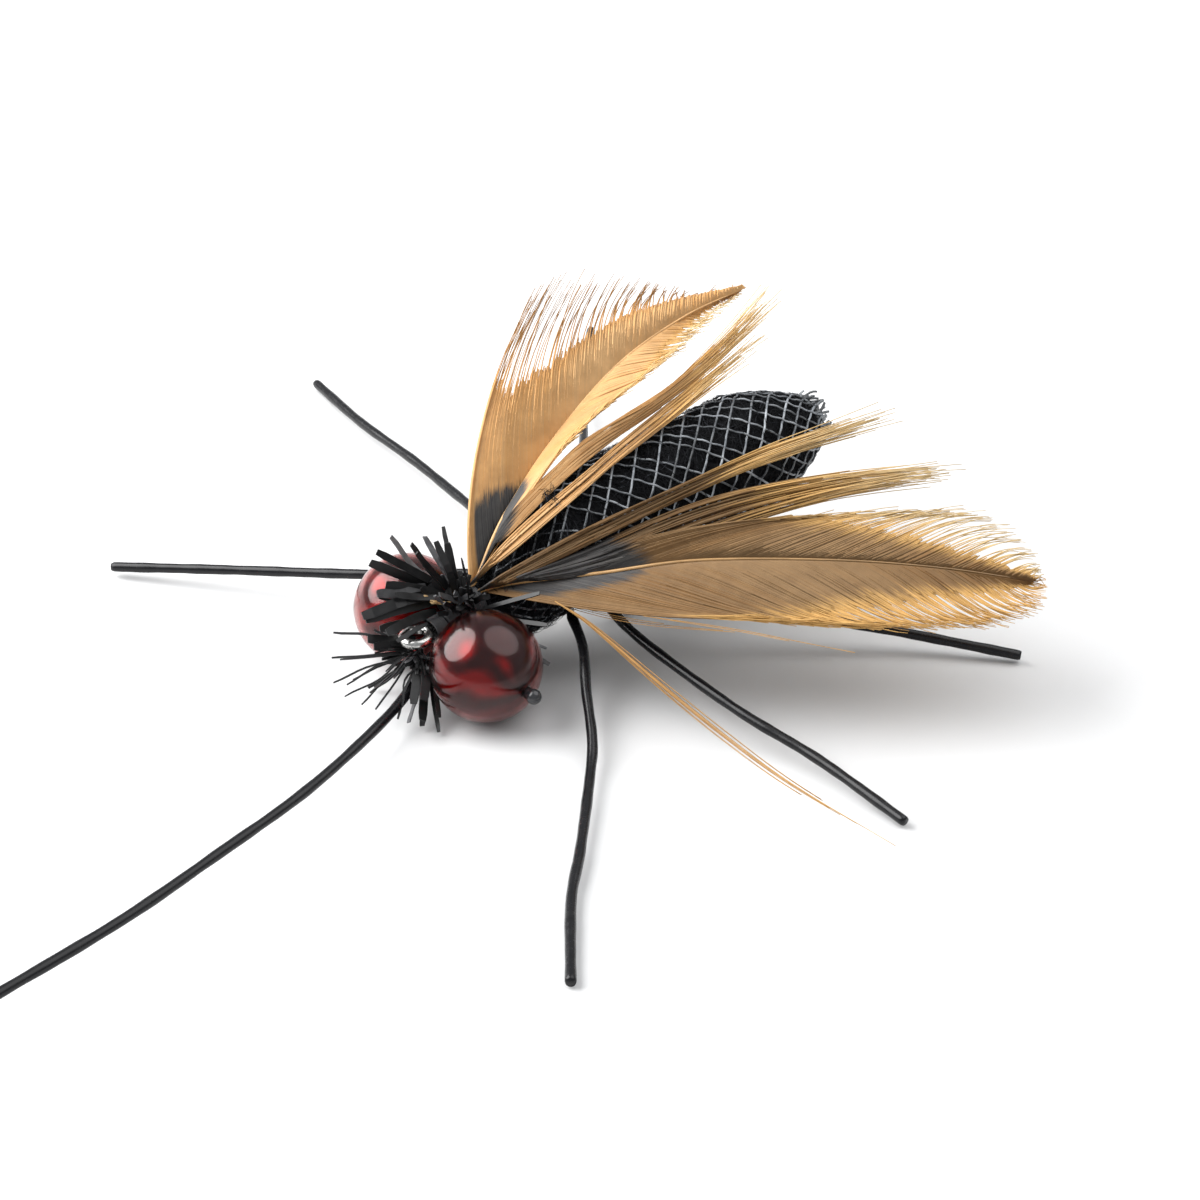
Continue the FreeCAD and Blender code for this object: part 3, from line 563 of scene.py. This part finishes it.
# Shades of the fibres, and how often each is drawn.
BLADE_SHADES = ((0.01, 0.014, 0.022, 0.06, 0.16), (0.3, 0.28, 0.18, 0.12, 0.12))
COLLAR_SHADES = ((0.01, 0.016, 0.03, 0.1), (0.4, 0.35, 0.15, 0.1))
FRONT_SHADES = ((0.01, 0.016, 0.04, 0.14), (0.4, 0.3, 0.2, 0.1))


def pick(table):
    """A shade drawn from a table of shades and their odds."""
    shades, odds = table
    return rng.choice(shades, p=odds)


def blade(stack, root, tip, width, shade):
    """A flat plastic fibre, bent a little, narrower at the root and narrowed at its end."""
    root = level(root) + rng.normal(0, 0.08, 3)
    tip = level(tip) + rng.normal(0, 0.07, 3) * math.dist(root, tip)
    u = np.linspace(0, 1, 9)
    length = np.linalg.norm(tip - root)
    bow = rng.normal(0, 0.035, 3) * length
    line = root + (tip - root) * u[:, None] + bow * (np.sin(math.pi * u) ** 2)[:, None]
    profile = 0.6 * width * np.minimum(1, 0.55 + u * 2.2) * np.where(u > 0.9, 0.75, 1)
    facing = unit(np.array((-0.45, -0.55, 0.7)) + rng.normal(0, 0.3, 3))
    stack.add(line, profile, 0.045, facing, (shade, shade, shade * 1.03), 4, math.pi / 4)


def chenille():
    """The listed fibres, then shorter ones round the collar and a tuft at the front."""
    fibres = Strands()
    for root, tip, width in BLADES:
        blade(fibres, root, tip, width, pick(BLADE_SHADES))
    for _ in range(COLLAR_BLADES):
        angle = rng.uniform(-0.75, 0.75) + (math.pi if rng.random() < 0.25 else 0)
        x = rng.uniform(2.0, 3.6)
        root = np.array((x, 0.75 * math.sin(angle), 0.1 + 0.75 * math.cos(angle)))
        reach = rng.uniform(0.7, 1.7)
        tip = root + np.array((rng.uniform(-1.3, 0.8), reach * math.sin(angle),
                               reach * math.cos(angle)))
        shade = pick(COLLAR_SHADES)
        blade(fibres, root, tip, rng.uniform(0.16, 0.44), shade)
    for _ in range(FRONT_BLADES):
        heading = rng.uniform(-1.5, 1.5)
        root = np.array((-0.2, 0.5 * math.sin(heading), -0.75 + rng.uniform(-0.5, 0.2)))
        reach = rng.uniform(1.0, 2.0)
        away = np.array((-math.cos(heading), math.sin(heading), rng.uniform(-0.6, 0.6)))
        shade = pick(FRONT_SHADES)
        blade(fibres, root, root + reach * away, rng.uniform(0.1, 0.22), shade)
    fibres.piece("chenille_blades", BLADE, "fly", ["chenille_fibres"],
                 smooth=False)


# ---------------------------------------------------------------- legs

LEGS = {
    "head_leg": [(-0.1, -0.3, -1.9), (-2.2, -1.7, -2.2), (-6.0, -3.5, -2.25), (-11.0, -5.5, -2.15),
                 (-16.8, -7.2, -2.0), (-23.3, -8.95, -1.85), (-30.8, -10.1, -1.9)],
    "left_front_leg": [(8.2, -2.7, -0.5), (7.3, -4.9, -1.05), (5.6, -7.4, -1.8), (3.9, -10.1, -2.6),
                       (2.4, -11.9, -3.0), (-1.7, -16.4, -3.25), (-4.5, -19.3, -3.35),
                       (-8.2, -24.1, -3.4)],
    "right_front_leg": [(7.4, 2.7, -0.4), (5.0, 5.8, -0.9), (2.5, 8.8, -1.5), (-2.2, 15.0, -2.5),
                        (-6.8, 20.4, -3.2)],
    "left_middle_leg": [(10.3, -2.7, -0.3), (10.2, -5.0, -0.9), (10.45, -7.8, -1.45),
                        (11.1, -13.4, -2.2), (12.2, -18.4, -2.9), (12.6, -24.5, -3.4)],
    "right_middle_leg": [(10.6, 2.7, -0.1), (10.8, 7.0, -1.0), (11.8, 12.5, -1.8),
                         (12.7, 18.5, -2.4), (13.3, 25.0, -2.95), (14.3, 31.5, -3.4)],
    "left_rear_leg": [(13.4, -2.9, 0.1), (16.2, -6.0, -0.9), (19.3, -8.9, -1.8),
                      (23.2, -12.5, -2.6), (27.6, -17.4, -3.35)],
    "right_rear_leg": [(13.2, 2.9, 0.1), (16.8, 7.6, -0.8), (21.6, 13.6, -1.9), (26.6, 20.2, -2.8),
                       (32.2, 26.6, -3.4)],
}
LEG_RADIUS = 0.28
LEG_SIDES = 16


def leg(name, route):
    """Round rubber strand with softened ends and slight swellings."""
    line = spline(route, 160)
    run = np.linspace(0, 1, len(line))
    swell = 1 + 0.035 * np.sin(run * 37 + len(route)) + 0.02 * np.sin(run * 91)
    ease = np.ones(len(line))
    ease[0] = ease[-1] = 0.86
    radius = LEG_RADIUS * swell * ease
    strand = Strands()
    strand.add(line, radius, radius, (0.0, 0.0, 1.0), sides=LEG_SIDES, turn=math.pi / LEG_SIDES)
    strand.piece(name + "_strand_free", RUBBER, name, [name])


# ---------------------------------------------------------------- wings

BROWN = np.array(linear(222, 176, 122))
DEEP = np.array(linear(196, 144, 86))
GOLD = np.array(linear(226, 178, 108))
STRAW = np.array(linear(240, 210, 156))
STRIP_TONE = 0.72
GREY = np.array(linear(82, 80, 78))
SLATE = np.array(linear(56, 55, 56))
QUILL_PALE = np.array(linear(205, 160, 104))
STRAY_DARK = DEEP * 0.5
VANE_POINTS = 18
STRIP_POINTS = 26
STRAY_POINTS = 40
BUTT_POINTS = 14
BUTT_BARBS = 14

WINGS = {
    "right_wing": {
        "rachis": [(3.5, 0.22, 1.45), (4.35, 0.45, 1.75), (5.9, 1.1, 3.3), (7.6, 1.7, 4.6),
                   (11.3, 3.0, 6.5), (17.4, 5.2, 8.1), (24.2, 7.7, 7.9), (31.0, 10.1, 6.7)],
        "vanes": [
            {"tips": [(16.3, 11.3, 10.5), (18.4, 11.6, 10.8), (21.3, 11.8, 10.3), (23.7, 11.7, 9.0),
                      (25.9, 11.1, 8.0), (28.3, 10.6, 7.1), (31.0, 10.2, 6.6)],
             "leave": (1.65, 3.35, 4.3), "arrive": (4.4, 2.9, 1.0),
             "dense": [0.56, 0.38, 0.32, 0.35, 0.42, 0.58, 0.8], "span": (0.01, 0.99),
             "patch": (3.6, 2.7, 1.9), "count": 620, "clumps": 24, "loose": 0.17,
             "fringe": (DEEP * 0.9, DEEP * 0.55)},
            {"tips": [(11.6, 1.8, 7.0), (15.5, 2.9, 7.7), (19.2, 4.0, 7.9), (23.1, 5.7, 7.7),
                      (27.1, 8.0, 7.2), (30.9, 10.1, 6.7)],
             "leave": (2.6, 0.5, 3.0), "arrive": (4.0, 1.6, -0.2),
             "dense": [0.9, 0.85, 0.75, 0.5, 0.3, 0.2], "span": (0.02, 0.99),
             "patch": (3.6, 3.3, 1.7), "count": 460, "clumps": 50, "loose": 0.6,
             "fringe": (GOLD, STRAW)},
        ],
        "strips": [
            {"near": [(6.4, 0.7, 4.4), (8.4, 0.6, 5.8), (11.5, 1.1, 7.0), (14.0, 1.4, 7.4),
                      (17.2, 1.6, 7.7), (22.5, 3.5, 7.9), (30.5, 6.7, 8.5)],
             "far": [(5.6, 0.0, 3.8), (7.5, 0.0, 5.0), (10.5, 0.2, 6.1), (13.3, 0.9, 6.5),
                     (16.3, 1.6, 6.7), (21.2, 2.7, 7.2), (29.5, 6.2, 7.6)],
             "from": (0.02, 0.12), "count": 130, "clumps": 6, "patch": (3.4, 3.1, 1.5),
             "dense": 0.66},
            {"near": [(5.4, -0.2, 3.5), (7.4, -0.4, 4.8), (10.2, -0.6, 6.1), (13.1, 0.3, 6.4),
                      (16.2, 1.3, 6.6), (21.0, 2.4, 7.1), (28.4, 5.1, 7.0)],
             "far": [(5.0, -0.8, 3.1), (6.7, -0.9, 4.0), (8.9, -1.8, 5.7), (12.4, -0.9, 6.3),
                     (15.7, -0.1, 6.6), (20.9, 1.6, 6.9), (26.7, 4.4, 6.3)],
             "from": (0.0, 0.05), "count": 140, "clumps": 5, "patch": (0.8, 0.8, 0.6),
             "dense": 0.62},
        ],
        "quill": (0.1, 0.035), "tone": 1.0,
    },
    "left_wing": {
        "rachis": [(3.5, -0.2, 1.35), (4.35, -0.45, 1.5), (5.6, -1.6, 2.0), (8.7, -4.4, 2.75),
                   (12.6, -7.9, 3.8), (17.8, -12.6, 4.15), (22.0, -16.3, 3.9), (25.8, -19.8, 3.3)],
        "vanes": [
            {"tips": [(18.8, -8.9, 4.5), (22.6, -11.0, 4.4), (25.7, -12.7, 4.2), (27.3, -14.0, 4.2),
                      (27.6, -15.9, 4.1), (27.1, -18.2, 3.8), (26.2, -19.8, 3.4)],
             "leave": (3.4, -1.9, 1.2), "arrive": (3.0, -2.0, 0.0),
             "dense": [0.95, 0.85, 0.6, 0.44, 0.34, 0.28, 0.3], "span": (0.06, 0.99),
             "patch": (5.0, 4.6, 2.4), "count": 640, "clumps": 36, "loose": 0.36,
             "fringe": (GOLD, STRAW)},
            {"tips": [(12.8, -12.8, 2.7), (15.6, -15.9, 2.8), (18.1, -18.3, 2.8),
                      (20.9, -20.3, 2.8), (23.2, -21.2, 2.7), (25.1, -21.1, 2.9),
                      (26.2, -20.1, 3.2)],
             "leave": (1.6, -2.9, 0.3), "arrive": (2.6, -2.2, 0.1),
             "dense": [0.8, 0.72, 0.6, 0.48, 0.38, 0.25], "span": (0.02, 0.99),
             "patch": (5.4, 4.2, 1.0), "count": 640, "clumps": 44, "loose": 0.62,
             "fringe": (GOLD, GOLD)},
        ],
        "strips": [
            {"near": [(4.9, -1.2, 2.6), (6.7, -1.9, 3.5), (8.9, -2.9, 4.7), (12.0, -3.2, 5.1),
                      (15.7, -3.5, 5.5), (20.4, -3.7, 5.7), (27.6, -6.9, 7.4)],
             "far": [(5.0, -1.6, 2.3), (6.8, -2.3, 2.9), (9.0, -3.5, 4.1), (12.2, -3.7, 4.5),
                     (15.7, -4.0, 5.0), (20.3, -4.5, 5.5), (26.6, -7.2, 7.0)],
             "from": (0.01, 0.06), "count": 120, "clumps": 4, "patch": (0.8, 0.8, 0.6),
             "dense": 0.6},
            {"near": [(5.4, -1.8, 2.6), (7.2, -2.7, 3.2), (10.2, -3.6, 4.1), (14.2, -4.1, 4.6),
                      (17.4, -5.6, 5.3), (22.1, -8.3, 5.8), (27.5, -11.9, 6.0)],
             "far": [(6.2, -2.6, 2.5), (8.3, -4.1, 2.8), (11.1, -5.3, 3.2), (14.2, -6.4, 3.7),
                     (17.5, -7.4, 4.3), (21.4, -9.0, 5.0), (26.4, -11.9, 5.7)],
             "from": (0.05, 0.22), "count": 200, "clumps": 11, "patch": (4.9, 4.6, 2.4),
             "dense": 0.6},
        ],
        "quill": (0.1, 0.035), "tone": 0.3,
    },
}

# Single barbs and bundles that came loose from the left wing: route, count and spread.
STRAYS = [
    ([(6.0, -4.2, 2.0), (6.7, -6.5, 1.4), (7.4, -11.4, 0.1), (8.0, -15.8, -0.9), (8.5, -20.5, -1.5),
      (9.6, -27.0, -2.0)], 12, 0.24),
    ([(8.6, -8.4, 2.2), (11.4, -12.4, 2.3), (13.4, -15.8, 2.4), (15.4, -18.6, 2.3)], 3, 0.06),
    ([(5.5, -1.6, 1.7), (7.0, -4.6, 1.4), (8.8, -8.2, 1.6), (11.6, -12.2, 2.0)], 3, 0.1),
]
BUTT_ROUTE = [(4.05, 0.4, 0.95), (2.55, 0.36, 1.15), (0.95, 0.3, 1.95)]


def patch_share(line, root, axis, patch, wobble):
    """How far points lie inside the rounded slate patch beside the quill."""
    middle, half, across = patch
    ahead = (line - root) @ axis
    beside = np.linalg.norm(line - root - ahead[:, None] * axis, axis=1)
    inside = 1 - ((ahead - middle) / half) ** 2 - (beside / (across * wobble)) ** 2
    return smoothstep(inside, -0.06, 0.12)


def barb_colour(u, dense, inside, warmth, tone, fringe=(GOLD, STRAW)):
    """Brown along the closed part, paler past it, slate inside the patch by the quill."""
    ripple = rng.normal(0, 0.06)
    body = (BROWN + (DEEP - BROWN) * np.clip(0.3 + warmth + ripple * 3, 0, 1)) * tone
    past = smoothstep(u, dense - 0.1, dense + 0.08)[:, None]
    near, far = fringe
    pale = near + (far - near) * smoothstep(u, dense, min(dense + 0.35, 1.0))[:, None]
    pale = pale * tone ** 0.2
    colour = body + (pale - body) * past
    slate = GREY + (SLATE - GREY) * rng.uniform(0, 1)
    colour = colour + (slate - colour) * inside[:, None]
    return colour * (1 + ripple)


def vane(stack, rachis, plan, tone):
    """One side of a feather: close barbs that part into clumps towards their tips."""
    tips = spline(plan["tips"], 200)
    leave, arrive = unit(plan["leave"]), unit(plan["arrive"])
    tangents = unit(np.gradient(rachis, axis=0))
    root = rachis[0]
    axis = unit(along(rachis, 0.2) - root)
    count = plan["count"]
    u = np.linspace(0, 1, VANE_POINTS)
    low, high = plan["span"]
    shares = np.linspace(0, 1, count) ** 1.15
    clump = np.round(shares * plan["clumps"] + rng.normal(0, 0.2, count)) / plan["clumps"]
    spacing = 1.5 * np.linalg.norm(rachis[-1] - root) / count
    for k, share in enumerate(shares):
        start = along(rachis, low + (high - low) * share)
        tangent = along(tangents, low + (high - low) * share)
        dense = float(np.interp(share, np.linspace(0, 1, len(plan["dense"])), plan["dense"]))
        dense += rng.normal(0, 0.03)
        loose = rng.random() < plan["loose"]
        reach = rng.uniform(0.85, 1.0) if loose else min(dense + rng.uniform(0, 0.07), 1.0)
        end = along(tips, share)
        pulled = along(tips, clump[k])
        chord = np.linalg.norm(end - start)
        outward = unit(end - start - tangent * np.dot(end - start, tangent))
        out = unit(leave * (1 - share) + unit(tangent + 0.4 * outward) * share)
        into = unit(arrive * (1 - share) + unit(tangent + 0.1 * outward) * share)
        t = u * reach
        s = t[:, None]
        line = ((2 * s ** 3 - 3 * s ** 2 + 1) * start + (s ** 3 - 2 * s ** 2 + s) * out * chord
                + (3 * s ** 2 - 2 * s ** 3) * end + (s ** 3 - s ** 2) * into * chord)
        gather = smoothstep(s, dense * 0.85, 1.0)
        normal = unit(np.cross(tangent, outward))
        line = line + (pulled - end) * gather
        line = line + normal * (rng.normal(0, 0.04) * s + 0.25 * np.sin(s * math.pi)
                                + rng.normal(0, 0.14) * gather ** 2)
        line = line + outward * rng.normal(0, 0.12) * gather ** 2
        closed = 1 - smoothstep(t, dense - 0.04, dense + 0.06)
        width = (0.04 + max(spacing * 0.55, 0.03) * closed) * (1 - 0.55 * t ** 2)
        inside = patch_share(line, root, axis, plan["patch"], 1 + 0.03 * math.sin(k * 2.3))
        inside = inside * smoothstep(share, 0.012, 0.03)
        colour = barb_colour(t, dense, inside, 0.35 * math.sin(share * 9), tone, plan["fringe"])
        stack.add(line, width, 0.02, normal, colour, 4)


def strip(stack, rachis, plan, tone):
    """Barbs split off from a vane, in narrow clumps that fan out at the tip."""
    near, far = spline(plan["near"], 60), spline(plan["far"], 60)
    low, high = plan["from"]
    root = rachis[0]
    axis = unit(along(rachis, 0.2) - root)
    normal = unit(np.cross(near[-1] - near[0], far[30] - near[30]))
    count, clumps = plan["count"], plan["clumps"]
    for k in range(count):
        across = (k + 0.5) / count
        start = along(rachis, low + (high - low) * across)
        group = (math.floor(across * clumps) + 0.5) / clumps
        reach = rng.uniform(0.5, 0.88) if rng.random() < 0.7 else rng.uniform(0.88, 1.0)
        stops = np.array([0.0, 0.18, 0.36, 0.54, 0.72, 0.86, 1.0]) * reach
        pull = np.clip(stops * 1.3, 0, 0.82)[:, None]
        share = across * (1 - pull) + group * pull
        middle = along(near, stops) * (1 - share) + along(far, stops) * share
        fan = (stops ** 3)[:, None]
        middle = middle + fan * (rng.normal(0, 0.24, 3) + normal * rng.normal(0, 0.25))
        line = spline(np.vstack([start, middle]), STRIP_POINTS)
        u = np.linspace(0, reach, STRIP_POINTS)
        width = 0.055 * (1 - 0.8 * u) + 0.008
        dense = plan["dense"] + rng.normal(0, 0.06)
        line = line + normal * (0.08 * math.sin(group * 40) + rng.normal(0, 0.02))
        inside = patch_share(line, root, axis, plan["patch"], 1 + 0.07 * math.sin(k * 1.3))
        colour = barb_colour(u, dense, inside, 0.4 * math.sin(group * 17), tone * STRIP_TONE)
        stack.add(line, width, 0.022, normal, colour, 4)


def wing(name, plan):
    """One feather: its web, the strips split off it and its quill."""
    rachis = spline(plan["rachis"], 240)
    web = Strands()
    for side in plan["vanes"]:
        vane(web, rachis, side, plan["tone"])
    web.piece(name + "_vane", VANE, name, [name + "_web"])
    split = Strands()
    for part in plan["strips"]:
        strip(split, rachis, part, plan["tone"])
    split.piece(name + "_split_barbs", VANE, name, [name + "_split_web"])
    stem = Strands()
    thick, thin = plan["quill"]
    u = np.linspace(0, 1, len(rachis))
    size = thick * (1 - u) ** 1.6 + thin
    pale = QUILL_PALE + (BROWN * plan["tone"] - QUILL_PALE) * (u ** 0.5)[:, None]
    tint = pale * (1 - 0.1 * np.sin(u * 40))[:, None]
    stem.add(rachis + np.array((0, 0, 0.03)), size, size * 0.9, (0.0, 0.0, 1.0), tint, 10)
    stem.piece(name + "_rachis", QUILL, name, [name + "_quill"])


def strays():
    """Barbs that came loose from the left wing."""
    loose = Strands()
    u = np.linspace(0, 1, STRAY_POINTS)
    for route, count, spread in STRAYS:
        base = spline(route, STRAY_POINTS)
        for _ in range(count):
            shift = rng.normal(0, spread, 3)
            line = base + shift * np.sin(u * math.pi * 0.85)[:, None] * (1 - 0.6 * u)[:, None]
            keep = rng.integers(26, STRAY_POINTS + 1)
            fade = rng.uniform(0, 0.4) + 0.5 * u[:keep, None] ** 2
            tint = STRAY_DARK + (GOLD - STRAY_DARK) * fade
            loose.add(line[:keep], 0.045 * (1 - 0.85 * u[:keep]), 0.02, (0.1, 0.2, 1.0), tint, 4)
    loose.piece("left_wing_strays", VANE, "left_wing", ())


def butts():
    """Trimmed feather ends that lie forward over the head."""
    for side_name, side in (("left", -1), ("right", 1)):
        ends = Strands()
        base = spline(level(np.array(BUTT_ROUTE) * (1, side, 1)), BUTT_POINTS)
        u = np.linspace(0, 1, BUTT_POINTS)
        for k in range(BUTT_BARBS):
            angle = k * 2.4
            shift = (np.array((0, math.cos(angle), math.sin(angle)))
                     * 0.08 * math.sqrt(k / BUTT_BARBS))
            line = base + shift * (0.6 + 0.8 * u)[:, None]
            keep = BUTT_POINTS - int(rng.integers(0, 3))
            tint = BROWN * 0.8 + (STRAW - BROWN) * rng.uniform(0, 0.6)
            ends.add(line[:keep], 0.032, 0.024, (0.1, 0.1, 1.0), tint, 5)
        ends.piece(side_name + "_butt_barbs", QUILL, "fly", [side_name + "_wing_butt"])


# ---------------------------------------------------------------- build

dress("hook", STEEL)
dress("eye_stem", MONO)
dress("foam_underbody", FOAM)
dress("chenille_core", CORE_YARN)
for tie in ("front_leg_tie", "middle_leg_tie", "rear_leg_tie", "front_foam_tie", "rear_foam_tie"):
    dress(tie, THREAD)
for strand in ("head_leg_strand", "front_leg_strand", "middle_leg_strand", "rear_leg_strand"):
    dress(strand, RUBBER)
wraps("shank_wraps", "thread_base", 1.8, 13.6, 0.42, 0.0, 0.135)
wraps("head_wraps", "whip_finish", 1.8, 0.9, 0.6, 0.0, 0.13)
wraps("eye_wraps", "eye_lashing", 0.9, 0.85, 0.75, -0.2, 0.13)
wraps("wing_wraps", "wing_tie", 3.2, 0.85, 1.0, 0.3, 0.13)
eye("left", -1)
eye("right", 1)
dubbed_skin("abdomen_dubbing", 8.6, 27.2, "dubbing_coat", 0.0)
dubbed_skin("thorax_fluff", 4.2, 9.2, "thorax_dubbing", 3.0)
fuzz("abdomen_fibres", 8.8, 26.9, 6000, 0.15)
fuzz("thorax_fibres", 4.3, 9.2, 3200, 0.3)
braid()
tail()
chenille()
for name, route in LEGS.items():
    leg(name, route)
for name, plan in WINGS.items():
    wing(name, plan)
strays()
butts()


# ---------------------------------------------------------------- floor, lights, camera

FLOOR_REACH = 600
CAMERA_TARGET = (9.79, -3.18, 0.04)
CAMERA_AZIMUTH = -37.85
CAMERA_ELEVATION = 33.0
CAMERA_DISTANCE = 165
CAMERA_LENS = 92.3
SKY = (0.95, 0.97, 1.0, 1)
SKY_STRENGTH = 0.54
LAMP_SIZE = 230
LAMP_AIM = (10, -2, 1)


def stage():
    """A plain pale floor under the fly."""
    mesh = bpy.data.meshes.new("floor")
    reach = FLOOR_REACH * MM
    z = GROUND * MM
    corners = [(-reach, -reach, z), (reach, -reach, z), (reach, reach, z), (-reach, reach, z)]
    mesh.from_pydata(corners, [], [(0, 1, 2, 3)])
    mesh.materials.append(speckled("pale_floor", (0.64, 0.64, 0.64), (0.61, 0.61, 0.61), 60, 0.8,
                                   bump=0.0))
    floor = bpy.data.objects.new("floor", mesh)
    bpy.context.collection.objects.link(floor)


def lamp(name, place, power):
    """A round soft lamp that looks at the fly."""
    data = bpy.data.lights.new(name, "AREA")
    data.shape = "DISK"
    data.size = LAMP_SIZE * MM
    data.energy = power
    obj = bpy.data.objects.new(name, data)
    bpy.context.collection.objects.link(obj)
    obj.location = Vector(place) * MM
    obj.rotation_euler = (Vector(place) - Vector(LAMP_AIM)).to_track_quat("Z", "Y").to_euler()


def camera():
    """The photo's view."""
    data = bpy.data.cameras.new("camera")
    data.sensor_width = 36
    data.lens = CAMERA_LENS
    data.clip_start = 0.001
    obj = bpy.data.objects.new("camera", data)
    bpy.context.collection.objects.link(obj)
    azimuth, elevation = math.radians(CAMERA_AZIMUTH), math.radians(CAMERA_ELEVATION)
    target = Vector(CAMERA_TARGET) * MM
    back = Vector((math.sin(azimuth) * math.cos(elevation),
                   -math.cos(azimuth) * math.cos(elevation), math.sin(elevation)))
    obj.location = target + back * CAMERA_DISTANCE * MM
    obj.rotation_euler = back.to_track_quat("Z", "Y").to_euler()
    bpy.context.scene.camera = obj


stage()
lamp("key", (-95, 106, 129), 0.98)
lamp("window", (86, -45, 163), 0.25)
world = bpy.data.worlds.new("studio")
world.use_nodes = True
sky = world.node_tree.nodes["Background"]
sky.inputs["Color"].default_value = SKY
sky.inputs["Strength"].default_value = SKY_STRENGTH
bpy.context.scene.world = world
bpy.context.scene.view_settings.view_transform = "Standard"
camera()
